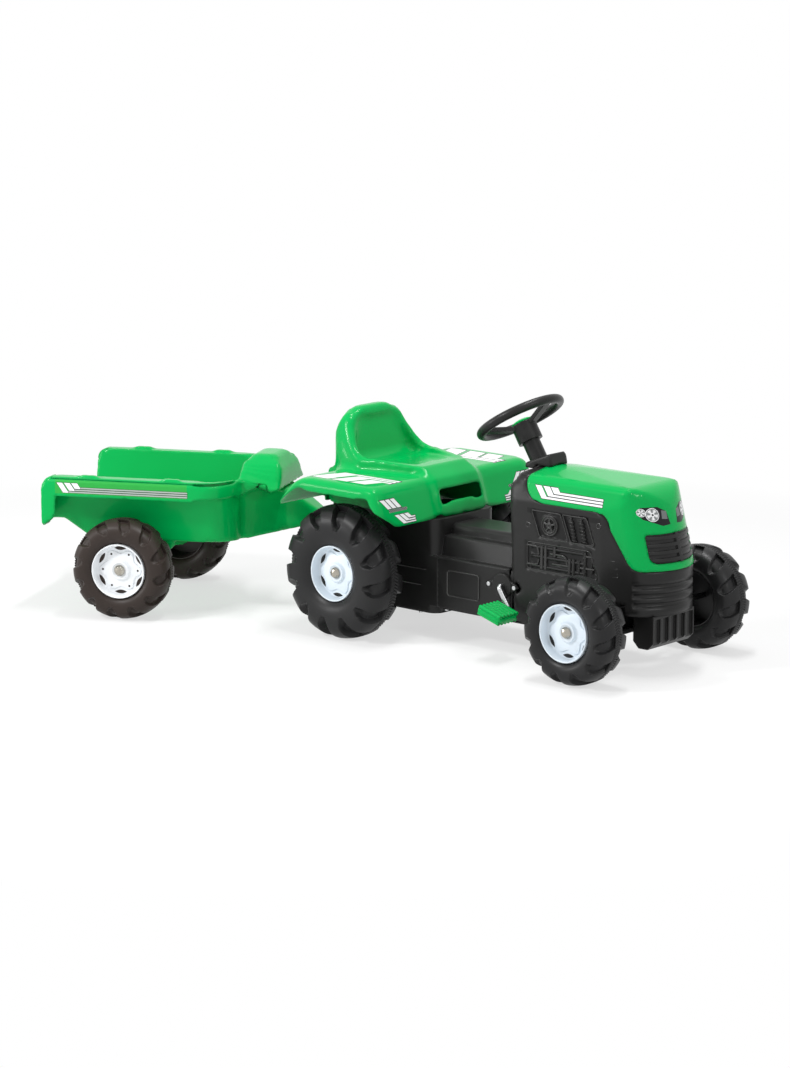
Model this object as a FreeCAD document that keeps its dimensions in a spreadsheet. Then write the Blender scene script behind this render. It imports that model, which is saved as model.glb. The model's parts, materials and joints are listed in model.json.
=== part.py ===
import FreeCAD, Part
import math
import os
import re

import Sketcher
from FreeCAD import Placement, Rotation, Vector

# A child's pedal tractor with a tipping-style trailer. Millimetres and degrees.
# While it is built, X = 0 is the rear axle, Y = 0 the tractor's middle plane and Z = 0 the ground;
# +X is forward and +Y the tractor's left. At the end everything moves so that the origin is the
# middle of the footprint.

SIZES = {
    # general fits
    "running_gap": 0.08,
    "seat_gap": 0.25,
    "overrun": 20,
    # wheels
    "wheelbase": 632,
    "wheel_middle_y": 214,
    "rim_radius": 61,
    "rim_wall": 3,
    "rim_lip_offset": 40,
    "rim_hub_radius": 19,
    "rim_hub_inset": 12,
    "rim_web_inset": 20,
    "rim_slot_count": 6,
    "rim_slot_radius": 42,
    "rim_slot_length": 21,
    "rim_slot_width": 7,
    "axle_radius": 6,
    "cap_radius": 12,
    "cap_height": 9,
    "cap_wall": 2,
    "cap_shoulder_share": 0.7,
    "cap_crown_share": 0.25,
    "tyre_wall": 3,
    "tread_depth": 9,
    "tread_band": 9,
    "lug_count": 14,
    "lug_slant": 22,
    "front_tyre_radius": 112,
    "front_tyre_width": 89,
    "front_lug_gap": 25,
    "rear_tyre_radius": 146,
    "rear_tyre_width": 99,
    "rear_lug_gap": 31,
    # front body: engine housing and bonnet
    "body_half_width": 100,
    "body_bottom": 72,
    "body_rear_x": 370,
    "dash_rear_x": 356,
    "dash_drop": 8,
    "dash_radius": 40,
    "nose_half_width": 93,
    "nose_x": 735,
    "nose_bulge": 34,
    "nose_round": 112,
    "nose_bottom": 128,
    "nose_corner_radius": 44,
    "rear_corner_radius": 16,
    "crown_top": 400,
    "shoulder_drop": 14,
    "shoulder_half_width": 85,
    "shoulder_radius": 20,
    "waist_height": 215,
    "cheek_half_width": 98,
    "cheek_drop": 65,
    "front_top_x": 690,
    "front_drop": 14,
    "front_top_radius": 60,
    "body_wall": 3.5,
    "bonnet_rear_x": 403,
    "bonnet_rear_radius": 46,
    "sill_drop": 66,
    "bonnet_sill_front_x": 607,
    "bonnet_chin": 222,
    "bonnet_chin_x": 684,
    "bonnet_wall": 4,
    "bonnet_proud": 1.5,
    "seam_gap": 0.6,
    "seam_radius": 42,
    "bay_back": 80,
    "bay_ahead": 36,
    "bay_top": 150,
    # engine relief on both flanks
    "relief_depth": 3,
    "panel_rear_x": 424,
    "panel_front_x": 590,
    "panel_top": 318,
    "panel_bottom": 262,
    "panel_lean": 22,
    "fan_radius": 20,
    "spring_radius": 5,
    "pipe_top": 250,
    "pipe_bottom": 192,
    "pipe_radius": 3,
    "panel_split_share": 0.46,
    "fan_along_share": 0.28,
    "fan_bowl_share": 0.75,
    "spring_top_share": 0.9,
    # grille and front weight
    "grille_top": 296,
    "grille_bottom": 237,
    "grille_half_width": 72,
    "grille_radius": 16,
    "grille_rib_count": 4,
    "grille_rib": 7,
    "grille_bar": 9,
    "weight_top": 127.7,
    "weight_bottom": 57,
    "weight_rear_x": 671,
    "weight_front_x": 722,
    "weight_half_width": 70,
    "weight_radius": 14,
    "weight_rib_count": 5,
    "weight_rib": 7,
    "weight_rib_depth": 5,
    "nose_rib_count": 3,
    "nose_rib_top": 205,
    "nose_rib_bottom": 148,
    "nose_rib_share": 0.5,
    # tunnel between the knees and the box under the seat
    "tunnel_top": 247,
    "tunnel_top_half_width": 50,
    "tunnel_round": 12,
    "tunnel_step_height": 226,
    "tunnel_step_half_width": 75,
    "footrest_height": 183,
    "footrest_inner_half_width": 84,
    "hatch_rear_x": 195,
    "hatch_front_x": 282,
    "hatch_bottom": 102,
    "hatch_top": 157,
    "box_front_x": 165,
    "box_rear_x": -150,
    "box_bottom": 57,
    "box_top": 262,
    "box_corner_radius": 26,
    # seat and mudguards
    "seat_wall": 4,
    "fender_half_width": 262,
    "fender_top": 347,
    "fender_front_x": 152,
    "fender_front_top_x": 126,
    "fender_rear_x": -166,
    "fender_rear_bottom": 276,
    "fender_skirt": 28,
    "fender_round": 18,
    "skirt_corner_radius": 42,
    "seat_front_x": 100,
    "seat_front_top": 366,
    "seat_front_half_width": 80,
    "seat_side_half_width": 124,
    "seat_rear_half_width": 104,
    "seat_dish": 9,
    "seat_brow_x": 141,
    "seat_brow_height": 338,
    "seat_brow_radius": 45,
    "seat_foot_x": 158,
    "back_top": 473,
    "back_front_x": -102,
    "back_thickness": 30,
    "back_lean": 14,
    "back_top_half_width": 83,
    "back_corner_radius": 56,
    "back_round": 12,
    "lip_width": 20,
    "lip_foot_x": -62,
    "lip_rise": 11,
    "lip_sweep_radius": 58,
    "recess_low": 20,
    "recess_high": 7,
    "slot_half_width": 66,
    "slot_height": 40,
    "slot_middle": 308,
    "slot_foot_share": 0.76,
    # steering
    "steer_wheel_x": 311,
    "steer_wheel_height": 488,
    "steer_wheel_radius": 90,
    "steer_tube_radius": 10,
    "steer_dish": 14,
    "steer_tilt": 31.8,
    "steer_limit": 30,
    "hub_radius": 27,
    "hub_height": 42,
    "spoke_width": 20,
    "spoke_thickness": 9,
    "spoke_root_share": 0.6,
    "hub_skirt_share": 0.6,
    "steer_cap_rim_share": 0.9,
    "steer_cap_step_share": 0.6,
    "steer_cap_edge_share": 0.7,
    "steer_cap_brow_share": 0.45,
    "steer_cap_top_share": 0.35,
    "column_radius": 19,
    "cowl_rear_x": 342,
    "cowl_front_x": 422,
    "cowl_rear_height": 398,
    "cowl_front_height": 425,
    "cowl_ridge_x": 412,
    "cowl_half_width": 29,
    "shaft_radius": 7,
    "shaft_low_height": 165,
    "steer_arm": 45,
    "arm_thickness": 8,
    "finger_radius": 4,
    "finger_root_radius": 6,
    "web_height": 205,
    "web_thickness": 8,
    "kingpin_y": 140,
    "kingpin_radius": 5,
    "kingpin_head_radius": 8,
    "knuckle_radius": 14,
    "knuckle_height": 40,
    "yoke_thickness": 10,
    "yoke_inner_y": 110,
    "beam_rear_x": 614,
    "beam_front_x": 650,
    "link_width": 16,
    # pedals and chain drive
    "crank_x": 349,
    "crank_radius": 54,
    "crank_rod_radius": 5.5,
    "crank_bend_radius": 8,
    "crank_stand_off": 1.5,
    "crank_angle": -57,
    "pedal_length": 70,
    "pedal_width": 60,
    "pedal_thickness": 24,
    "pedal_rib_count": 6,
    "pedal_rib_depth": 3,
    "pedal_flat_share": 0.86,
    "pedal_edge_share": 0.5,
    "groove_start_share": 0.3,
    "groove_end_share": 0.7,
    "bearing_spigot_radius": 17,
    "bearing_flange_radius": 26,
    "bearing_thickness": 6,
    "bearing_ear_share": 0.9,
    "screw_spacing": 69,
    "screw_radius": 2,
    "screw_head_radius": 4.5,
    "screw_head_height": 3,
    "screw_length": 12,
    "chain_pitch": 12.7,
    "chain_y": 40,
    "crank_teeth": 18,
    "axle_teeth": 12,
    "roller_radius": 3.3,
    "roller_room": 1.2,
    "sprocket_thickness": 3,
    "sprocket_hub_radius": 15,
    "sprocket_hub_length": 18,
    "tooth_height_share": 0.5,
    "link_plate": 1.5,
    "link_inner_width": 5,
    "link_half_height": 4,
    "bush_radius": 11,
    "bush_flange_radius": 17,
    "cover_thickness": 3,
    "cover_inset": 3,
    "boss_radius": 7,
    "boss_height": 26,
    "boss_in_wall_share": 0.4,
    # tow hitch and trailer
    "hitch_x": -183,
    "hitch_height": 190,
    "hitch_thickness": 10,
    "hitch_half_width": 30,
    "hitch_pin_radius": 7,
    "hitch_pin_head_radius": 12,
    "hitch_round": 27,
    "trailer_yaw": 27,
    "trailer_axle_u": -457,
    "trailer_wheel_v": 212,
    "tub_rear_u": -650,
    "tub_front_u": -222,
    "tub_floor": 165,
    "tub_floor_rear_u": -560,
    "tub_rear_floor": 205,
    "tub_floor_half_width": 148,
    "tub_top_half_width": 176,
    "tub_corner_radius": 60,
    "tub_wall": 3.2,
    "rail_top": 308,
    "rail_bottom": 266,
    "rail_half_width": 208,
    "rail_round": 12,
    "post_bottom": 195,
    "post_rise": 22,
    "post_length": 34,
    "rail_end_radius": 24,
    "nub_length": 44,
    "nub_width": 16,
    "nub_height": 5,
    "board_top": 351,
    "board_half_width": 108,
    "board_thickness": 26,
    "board_lean": 16,
    "board_top_length": 52,
    "board_brow": 23,
    "board_round": 26,
    "drawbar_half_width": 46,
    "drawbar_top": 276,
    "neck_u": -133,
    "drawbar_foot_u": -209,
    "eye_radius": 24,
    "eye_round": 23.5,
    "eye_thickness": 16,
    "axle_block_half_length": 24,
    "axle_block_bottom": 94,
}

# Shares of the tyre's half width and of the height from bead to tread, from the outer bead
# over the tread's middle.
TYRE_SHARES = ((0.80, 0.0), (0.96, 0.22), (1.0, 0.46), (0.95, 0.74), (0.84, 0.92), (0.60, 1.0))
# Shares of the engine panel's length, of the pipe recess's height and of the trailer's length.
SPRING_SHARES = (0.68, 0.84)
PIPE_SHARES = (0.15, 0.5, 0.85)
NUB_SHARES = (0.25, 0.7)

doc = FreeCAD.newDocument("PedalTractor")
sheet = doc.addObject("Spreadsheet::Sheet", "Sizes")
for row, (alias, value) in enumerate(SIZES.items(), start=1):
    sheet.set(f"A{row}", alias)
    sheet.set(f"B{row}", str(value))
    sheet.setAlias(f"B{row}", alias)
doc.recompute()


class SheetSizes:
    """Reads the sheet's cells by alias."""

    def __getattr__(self, alias):
        return float(sheet.get(alias))


d = SheetSizes()
nodes = []


def bound(text):
    """An expression on the sheet's aliases, written without the sheet's name."""
    return re.sub(r"[a-z][a-z_]*", lambda m: f"Sizes.{m[0]}" if m[0] in SIZES else m[0], text)


def node(label, item, place=None):
    """Names a finished sub-part and puts it in its place."""
    item.Label = label
    if place is not None:
        item.Placement = place
    nodes.append(item)
    return item


def solid_node(label, shape, place=None):
    """A sub-part whose form has no plain feature history."""
    item = doc.addObject("Part::Feature", label)
    item.Shape = shape
    return node(label, item, place)


def primitive(kind, name, place=None, **sizes):
    """A Part primitive with its sizes bound to the sheet."""
    item = doc.addObject(f"Part::{kind}", name)
    for prop, text in sizes.items():
        item.setExpression(prop, bound(text))
    if place is not None:
        item.Placement = place
    return item


def joined(kind, name, *items):
    """A Part boolean: Fuse or Common of many, or Cut of the first by the second."""
    item = doc.addObject(f"Part::{kind}", name)
    if kind == "Cut":
        item.Base, item.Tool = items
    else:
        item.Shapes = list(items)
    return item


def copy_of(label, master, place):
    """One more of a piece that the object has several of."""
    item = doc.addObject("Part::Compound", label)
    item.Links = [master]
    return node(label, item, place)


def new_body(name):
    return doc.addObject("PartDesign::Body", name)


def new_sketch(body, name, role, offset=None):
    """A sketch on one of the body's own origin planes."""
    sketch = body.newObject("Sketcher::SketchObject", name)
    plane = next(item for item in body.Origin.OriginFeatures if item.Role == role)
    sketch.AttachmentSupport = [(plane, "")]
    sketch.MapMode = "FlatFace"
    if offset is not None:
        sketch.AttachmentOffset = offset
    return sketch


def pin_value(sketch, kind, first, first_end, text, second=None, second_end=None):
    """A sketch dimension bound to the sheet."""
    start = 1.0
    if second is None:
        index = sketch.addConstraint(Sketcher.Constraint(kind, first, start))
    else:
        ends = (first, first_end, second, second_end)
        index = sketch.addConstraint(Sketcher.Constraint(kind, *ends, start))
    sketch.setExpression(f"Constraints[{index}]", bound(text))


def sketch_outline(sketch, points):
    """A closed outline through points given as pairs of expressions."""
    count = len(points)
    first = sketch.GeometryCount
    angles = [2 * math.pi * k / count for k in range(count)]
    turns = [Vector(math.cos(angle), math.sin(angle)) for angle in angles]
    for k in range(count):
        sketch.addGeometry(Part.LineSegment(turns[k], turns[(k + 1) % count]), False)
    for k in range(count):
        sketch.addConstraint(Sketcher.Constraint("Coincident", first + k, 2, first + (k + 1) % count, 1))
    for k, (across, up) in enumerate(points):
        pin_value(sketch, "DistanceX", -1, 1, across, first + k, 1)
        pin_value(sketch, "DistanceY", -1, 1, up, first + k, 1)


def sketch_circle(sketch, across, up, radius):
    """A circle with its middle and radius bound to the sheet."""
    first = sketch.addGeometry(Part.Circle(Vector(1, 1), Vector(0, 0, 1), 1), False)
    pin_value(sketch, "DistanceX", -1, 1, across, first, 3)
    pin_value(sketch, "DistanceY", -1, 1, up, first, 3)
    pin_value(sketch, "Radius", first, None, radius)


def feature(body, kind, name, sketch, length=None, symmetric=False, reverse=False):
    """A Pad, Pocket, Revolution or Groove of a sketch."""
    item = body.newObject(f"PartDesign::{kind}", name)
    item.Profile = sketch
    if kind in ("Revolution", "Groove"):
        item.ReferenceAxis = (sketch, ["H_Axis"])
        item.Angle = 360
    elif length is None:
        item.Type = "ThroughAll"
    else:
        item.setExpression("Length", bound(length))
    if symmetric:
        item.SideType = "Symmetric"
    item.Reversed = reverse
    return item


def polar(body, name, original, role, count):
    """Repeats a feature round one of the body's axes."""
    item = body.newObject("PartDesign::PolarPattern", name)
    item.Originals = [original]
    axis = next(line for line in body.Origin.OriginFeatures if line.Role == role)
    item.Axis = (axis, [""])
    item.Angle = 360
    item.setExpression("Occurrences", bound(count))
    body.Tip = item
    return item


def rounded_face(corners, spot):
    """A face from corners (across, up, radius), each rounded; spot maps across and up to space."""
    count = len(corners)
    edges = []
    starts = []
    ends = []
    for k in range(count):
        before = Vector(*corners[k - 1][:2])
        here = Vector(*corners[k][:2])
        after = Vector(*corners[(k + 1) % count][:2])
        radius = corners[k][2]
        back = (before - here).normalize()
        ahead = (after - here).normalize()
        half = back.getAngle(ahead) / 2
        if radius <= 0 or half > math.radians(89.9):
            starts.append(here)
            ends.append(here)
            edges.append(None)
            continue
        reach = radius / math.tan(half)
        middle_way = (back + ahead).normalize()
        top = here + middle_way * (radius / math.sin(half) - radius)
        starts.append(here + back * reach)
        ends.append(here + ahead * reach)
        edges.append(top)
    pieces = []
    for k in range(count):
        if edges[k] is not None:
            pieces.append(Part.Arc(spot(starts[k]), spot(edges[k]), spot(ends[k])).toShape())
        following = starts[(k + 1) % count]
        if ends[k].distanceToPoint(following) > d.running_gap / 100:
            pieces.append(Part.LineSegment(spot(ends[k]), spot(following)).toShape())
    return Part.Face(Part.Wire(pieces))


def grown(face, offset):
    """The face with its outline moved out, or in where offset is negative."""
    return face if offset == 0 else face.makeOffset2D(offset, 2)


def side_prism(corners, low_y, high_y, offset=0):
    """A side view's outline, in X and Z, carried from low_y to high_y."""
    face = rounded_face(corners, lambda p: Vector(p.x, low_y, p.y))
    return grown(face, offset).extrude(Vector(0, high_y - low_y, 0))


def section_prism(corners, low_x, high_x, offset=0):
    """A front view's outline, in Y and Z, carried from low_x to high_x."""
    face = rounded_face(corners, lambda p: Vector(low_x, p.x, p.y))
    return grown(face, offset).extrude(Vector(high_x - low_x, 0, 0))


def plan_prism(corners, low_z, high_z, offset=0, lean=0):
    """A plan's outline, in X and Y, carried from low_z to high_z and leaning along X."""
    face = rounded_face(corners, lambda p: Vector(p.x, p.y, low_z))
    return grown(face, offset).extrude(Vector(lean, 0, high_z - low_z))


def block(low_x, high_x, low_y, high_y, low_z, high_z):
    return Part.makeBox(high_x - low_x, high_y - low_y, high_z - low_z, Vector(low_x, low_y, low_z))


def mirrored(half):
    """Corners of a whole outline from those of its half with a positive first value."""
    other = [(-across, up, radius) for across, up, radius in reversed(half) if across > 0]
    return list(half) + other


def mirrored_plan(half):
    """The same for a plan, whose second value changes sign."""
    other = [(along, -across, radius) for along, across, radius in reversed(half) if across > 0]
    return list(half) + other


def rod(radius, start, end):
    """A round bar between two points."""
    return Part.makeCylinder(radius, start.distanceToPoint(end), start, end - start)


# Directions of the steering column, whose axis leans back towards the driver.
STEER_TILT = math.radians(d.steer_tilt)
STEER_UP = Vector(-math.sin(STEER_TILT), 0, math.cos(STEER_TILT))
STEER_TOP = Vector(d.steer_wheel_x, 0, d.steer_wheel_height)
STEER_TURN = Rotation(Vector(0, 1, 0), -d.steer_tilt)


def on_column(height):
    """The point of the steering axis at a height above the ground."""
    return STEER_TOP + STEER_UP * ((height - d.steer_wheel_height) / STEER_UP.z)


# Heights and places that several pieces share.
REAR_AXLE_HEIGHT = d.rear_tyre_radius
FRONT_AXLE_HEIGHT = d.front_tyre_radius
CRANK_PLACE = Vector(d.crank_x, 0, REAR_AXLE_HEIGHT)
BONNET_INNER = d.bonnet_proud - d.bonnet_wall
CORE_INSET = BONNET_INNER - d.seat_gap
CAVITY_INSET = CORE_INSET - d.body_wall
DASH_TOP = d.crown_top - d.dash_drop
SHOULDER_HEIGHT = d.crown_top - d.shoulder_drop
CHEEK_HEIGHT = d.crown_top - d.cheek_drop
FRONT_TOP = d.crown_top - d.front_drop
BONNET_SILL = d.crown_top - d.sill_drop
BAY_REAR_X = d.wheelbase - d.bay_back
BAY_FRONT_X = d.wheelbase + d.bay_ahead


# Wheels


def make_tyre(name, tyre_radius, tyre_width, lug_gap):
    """A hollow tyre, open at the bead, with slanted lugs that meet a plain middle band."""
    body = new_body(name)
    bead = "(rim_radius + seat_gap)"
    height = f"({tyre_radius} - {bead})"
    half = f"({tyre_width} / 2)"
    outer = [(f"{half} * {a}", f"{bead} + {height} * {r}") for a, r in TYRE_SHARES]
    outer += [(f"-1 * {across}", up) for across, up in reversed(outer)]
    inner_half = f"({half} - tyre_wall)"
    inner_top = f"({tyre_radius} - tread_depth - tyre_wall)"
    inner = [
        (f"-1 * {inner_half} * {TYRE_SHARES[0][0]}", bead),
        (f"-1 * {inner_half}", f"{bead} + {height} * {TYRE_SHARES[2][1]}"),
        (f"-1 * {inner_half} * {TYRE_SHARES[4][0]}", inner_top),
        (f"{inner_half} * {TYRE_SHARES[4][0]}", inner_top),
        (inner_half, f"{bead} + {height} * {TYRE_SHARES[2][1]}"),
        (f"{inner_half} * {TYRE_SHARES[0][0]}", bead),
    ]
    profile = new_sketch(body, f"{name}Profile", "YZ_Plane")
    sketch_outline(profile, outer + inner)
    feature(body, "Revolution", f"{name}Ring", profile)
    floor = f"{tyre_radius} - tread_depth"
    shoulder = f"{bead} + {height} * {TYRE_SHARES[3][1]}"
    for side, turn in ((1, 0), (-1, 180 / d.lug_count)):
        slant = Rotation(Vector(0, 1, 0), side * d.lug_slant)
        step = Rotation(Vector(1, 0, 0), turn)
        gap = new_sketch(body, f"{name}Gap{side}", "YZ_Plane", Placement(Vector(), step * slant))
        points = [
            ("tread_band", f"{tyre_radius} + overrun"),
            ("tread_band", f"{floor} + tyre_wall"),
            ("tread_band + tyre_wall", floor),
            (f"{half} * {TYRE_SHARES[4][0]}", floor),
            (f"{half} + tread_depth", shoulder),
            (f"{half} + tread_depth", f"{tyre_radius} + overrun"),
        ]
        sketch_outline(gap, [(f"{side} * ({across})", up) for across, up in points])
        cut = feature(body, "Pocket", f"{name}GapCut{side}", gap, lug_gap, symmetric=True)
        polar(body, f"{name}Gaps{side}", cut, "Y_Axis", "lug_count")
    return body


def make_rim(name, tyre_width):
    """A dished rim with six slots and a long hub; its outer face looks along +Y."""
    body = new_body(name)
    back = f"(-1 * {tyre_width} / 2 * {TYRE_SHARES[0][0]})"
    bore = "(axle_radius + running_gap)"
    web_outer = "(rim_radius - 3 * rim_wall)"
    profile = new_sketch(body, f"{name}Profile", "YZ_Plane")
    sketch_outline(
        profile,
        [
            ("rim_lip_offset", "rim_radius"),
            ("rim_lip_offset", "rim_radius - rim_wall"),
            ("rim_lip_offset - rim_web_inset", web_outer),
            ("rim_lip_offset - rim_web_inset", "rim_hub_radius + rim_wall"),
            ("rim_lip_offset - rim_hub_inset", "rim_hub_radius"),
            ("rim_lip_offset - rim_hub_inset", bore),
            (f"{back} - rim_wall", bore),
            (f"{back} - rim_wall", "rim_hub_radius - rim_wall"),
            ("rim_lip_offset - rim_web_inset - rim_wall", "rim_hub_radius"),
            ("rim_lip_offset - rim_web_inset - rim_wall", web_outer),
            ("rim_lip_offset - rim_web_inset", "rim_radius - rim_wall"),
            (back, "rim_radius - rim_wall"),
            (back, "rim_radius"),
        ],
    )
    feature(body, "Revolution", f"{name}Disc", profile)
    slot = new_sketch(body, f"{name}Slot", "XZ_Plane")
    half_length = "(rim_slot_length / 2)"
    half_width = "(rim_slot_width / 2)"
    ends = [(f"-1 * {half_length}", "rim_slot_radius"), (half_length, "rim_slot_radius")]
    tops = [
        (f"{across} * {half_length} / 2", f"rim_slot_radius + {up} * {half_width}")
        for across, up in ((-1, -1), (1, -1), (1, 1), (-1, 1))
    ]
    sketch_outline(slot, [ends[0], tops[0], tops[1], ends[1], tops[2], tops[3]])
    cut = feature(body, "Pocket", f"{name}SlotCut", slot, "rim_lip_offset")
    polar(body, f"{name}Slots", cut, "Y_Axis", "rim_slot_count")
    return body


def make_cap():
    """A domed push-on cap that grips the axle's end; it sits on Y = 0 and looks along +Y."""
    body = new_body("AxleCap")
    profile = new_sketch(body, "AxleCapProfile", "YZ_Plane")
    sketch_outline(
        profile,
        [
            ("0", "axle_radius + seat_gap"),
            ("0", "cap_radius"),
            ("cap_wall", "cap_radius"),
            ("cap_height - cap_wall", "cap_radius * cap_shoulder_share"),
            ("cap_height", "cap_radius * cap_crown_share"),
            ("cap_height", "0"),
            ("cap_height - cap_wall", "0"),
            ("cap_height - cap_wall", "axle_radius / 2"),
            ("cap_height - 2 * cap_wall", "axle_radius + seat_gap"),
        ],
    )
    feature(body, "Revolution", "AxleCapDome", profile)
    return body


def wheel_place(middle, outward, yaw=0):
    """Where a wheel goes: its own +Y looks outward, to the left or the right."""
    turn = Rotation(Vector(0, 0, 1), yaw + (0 if outward > 0 else 180))
    return Placement(middle, turn)


def make_wheels():
    front_tyre = make_tyre("FrontTyre", "front_tyre_radius", "front_tyre_width", "front_lug_gap")
    rear_tyre = make_tyre("RearTyre", "rear_tyre_radius", "rear_tyre_width", "rear_lug_gap")
    front_rim = make_rim("FrontRim", "front_tyre_width")
    rear_rim = make_rim("RearRim", "rear_tyre_width")
    cap = make_cap()
    cap_step = d.rim_lip_offset - d.rim_hub_inset + d.seat_gap
    yaw = Rotation(Vector(0, 0, 1), d.trailer_yaw)
    for side_name, side in (("left", 1), ("right", -1)):
        trailer_spot = Vector(d.trailer_axle_u, side * d.trailer_wheel_v, FRONT_AXLE_HEIGHT)
        trailer_middle = Vector(d.hitch_x, 0, 0) + yaw.multVec(trailer_spot)
        front_middle = Vector(d.wheelbase, side * d.wheel_middle_y, FRONT_AXLE_HEIGHT)
        rear_middle = Vector(0, side * d.wheel_middle_y, REAR_AXLE_HEIGHT)
        sets = (
            ("front", front_tyre, front_rim, front_middle, 0),
            ("rear", rear_tyre, rear_rim, rear_middle, 0),
            ("trailer", front_tyre, front_rim, trailer_middle, d.trailer_yaw),
        )
        for place_name, tyre, rim, middle, turn in sets:
            place = wheel_place(middle, side, turn)
            copy_of(f"{place_name}_tyre_{side_name}", tyre, place)
            copy_of(f"{place_name}_rim_{side_name}", rim, place)
            outside = place.multVec(Vector(0, cap_step, 0))
            copy_of(f"{place_name}_axle_cap_{side_name}", cap, wheel_place(outside, side, turn))


# Front body: engine housing, bonnet, grille and weight


def rear_line(height):
    """X of the housing's leaning rear face at a height."""
    lean = (d.dash_rear_x - d.body_rear_x) / (DASH_TOP - d.body_bottom)
    return d.body_rear_x + lean * (height - d.body_bottom)


def front_body(offset):
    """The whole form of housing and bonnet, moved out or in by offset."""
    far = d.overrun
    nose_lean = (d.front_top_x - d.nose_x) / (FRONT_TOP - d.bonnet_chin)
    top = d.crown_top + far
    side = side_prism(
        [
            (d.body_rear_x, d.body_bottom, 0),
            (d.dash_rear_x, DASH_TOP, d.dash_radius),
            (d.bonnet_rear_x, d.crown_top, d.dash_radius),
            (d.front_top_x, FRONT_TOP, d.front_top_radius),
            (d.nose_x + d.nose_bulge, d.bonnet_chin, 0),
            (d.nose_x + d.nose_bulge, d.nose_bottom, 0),
            (BAY_FRONT_X, d.nose_bottom, 0),
            (BAY_FRONT_X, d.bay_top, 0),
            (BAY_REAR_X, d.bay_top, 0),
            (BAY_REAR_X, d.body_bottom, 0),
        ],
        -d.fender_half_width,
        d.fender_half_width,
        offset,
    )
    section = section_prism(
        mirrored(
            [
                (d.body_half_width, 0, 0),
                (d.body_half_width, d.waist_height, d.seam_radius),
                (d.cheek_half_width, CHEEK_HEIGHT, d.seam_radius),
                (d.shoulder_half_width, SHOULDER_HEIGHT, d.shoulder_radius),
                (0, d.crown_top, d.crown_top / 2),
            ]
        ),
        0,
        d.wheelbase * 2,
        offset,
    )
    plan = mirrored_plan(
        [
            (0, d.body_half_width, 0),
            (d.bonnet_sill_front_x, d.body_half_width, 0),
            (d.nose_x - d.nose_bulge, d.nose_half_width, d.nose_corner_radius),
            (d.nose_x + d.nose_bulge, 0, d.nose_round),
        ]
    )
    rear_plan = mirrored_plan(
        [
            (rear_line(0), d.body_half_width, d.rear_corner_radius),
            (d.nose_x + d.nose_bulge + 2 * far, d.body_half_width, 0),
        ]
    )
    upper = plan_prism(plan, d.bonnet_chin, top, offset, nose_lean * (top - d.bonnet_chin))
    lower = plan_prism(plan, 0, d.bonnet_chin, offset)
    rear = plan_prism(rear_plan, 0, top, offset, rear_line(top) - rear_line(0))
    return side.common(section).common(upper.fuse(lower)).common(rear)


def bonnet_region(offset):
    """What lies above the bonnet's lower edge, seen from the side."""
    far = d.overrun
    return side_prism(
        [
            (d.bonnet_rear_x, d.crown_top + far, 0),
            (d.bonnet_rear_x, BONNET_SILL, d.bonnet_rear_radius),
            (d.bonnet_sill_front_x, BONNET_SILL, d.seam_radius),
            (d.bonnet_chin_x, d.bonnet_chin, d.seam_radius),
            (d.nose_x + 2 * far, d.bonnet_chin, 0),
            (d.nose_x + 2 * far, d.crown_top + far, 0),
        ],
        -d.fender_half_width,
        d.fender_half_width,
        offset,
    )


def grille_region(offset):
    """The grille's outline from the front, with round lower corners."""
    half = mirrored(
        [
            (d.grille_half_width, d.grille_bottom, d.grille_radius),
            (d.grille_half_width, d.grille_top, d.grille_radius / 3),
        ]
    )
    return section_prism(half, d.bonnet_sill_front_x, d.nose_x + d.overrun, offset)


def make_bonnet():
    """The bonnet: a moulded shell over the housing's core, open at the grille."""
    skin = front_body(d.bonnet_proud).cut(front_body(BONNET_INNER))
    shell = skin.common(bonnet_region(-d.seam_gap))
    solid_node("bonnet", shell.cut(grille_region(0)))
    region = grille_region(-d.seat_gap)
    back = front_body(BONNET_INNER)
    plate = front_body(-d.bonnet_proud / 2).cut(back).common(region)
    proud = front_body(d.bonnet_proud * 2).cut(back).common(region)
    pitch = (d.grille_top - d.grille_bottom) / d.grille_rib_count
    low_x = d.bonnet_sill_front_x
    high_x = d.nose_x + d.overrun
    bars = [block(low_x, high_x, -d.grille_bar / 2, d.grille_bar / 2, 0, d.crown_top)]
    for k in range(int(d.grille_rib_count)):
        low_z = d.grille_bottom + pitch * k + (pitch - d.grille_rib) / 2
        high_z = low_z + d.grille_rib
        bars.append(block(low_x, high_x, -d.body_half_width, d.body_half_width, low_z, high_z))
    ribs = [proud.common(bar) for bar in bars]
    solid_node("radiator_grille", plate.multiFuse(ribs).removeSplitter())


def make_weight():
    """The ribbed weight block below the nose."""
    body = new_body("front_weight_block")
    outline = new_sketch(body, "WeightSide", "XZ_Plane")
    sketch_outline(
        outline,
        [
            ("weight_rear_x", "weight_bottom + weight_radius"),
            ("weight_rear_x + weight_radius", "weight_bottom"),
            ("weight_front_x - weight_radius", "weight_bottom"),
            ("weight_front_x", "weight_bottom + weight_radius"),
            ("weight_front_x", "weight_top"),
            ("weight_rear_x", "weight_top"),
        ],
    )
    feature(body, "Pad", "WeightBlock", outline, "2 * weight_half_width", symmetric=True)
    pitch = "(2 * weight_half_width / weight_rib_count)"
    groove = new_sketch(body, "WeightGroove", "XY_Plane")
    for k in range(int(d.weight_rib_count)):
        low = f"-1 * weight_half_width + {pitch} * {k} + weight_rib / 2"
        high = f"-1 * weight_half_width + {pitch} * {k + 1} - weight_rib / 2"
        front = "weight_front_x + overrun"
        floor = "weight_front_x - weight_rib_depth"
        sketch_outline(groove, [(floor, low), (front, low), (front, high), (floor, high)])
    feature(body, "Pocket", "WeightGrooves", groove, "weight_top - weight_rib", reverse=True)
    node("front_weight_block", body)


# Chassis


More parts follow.
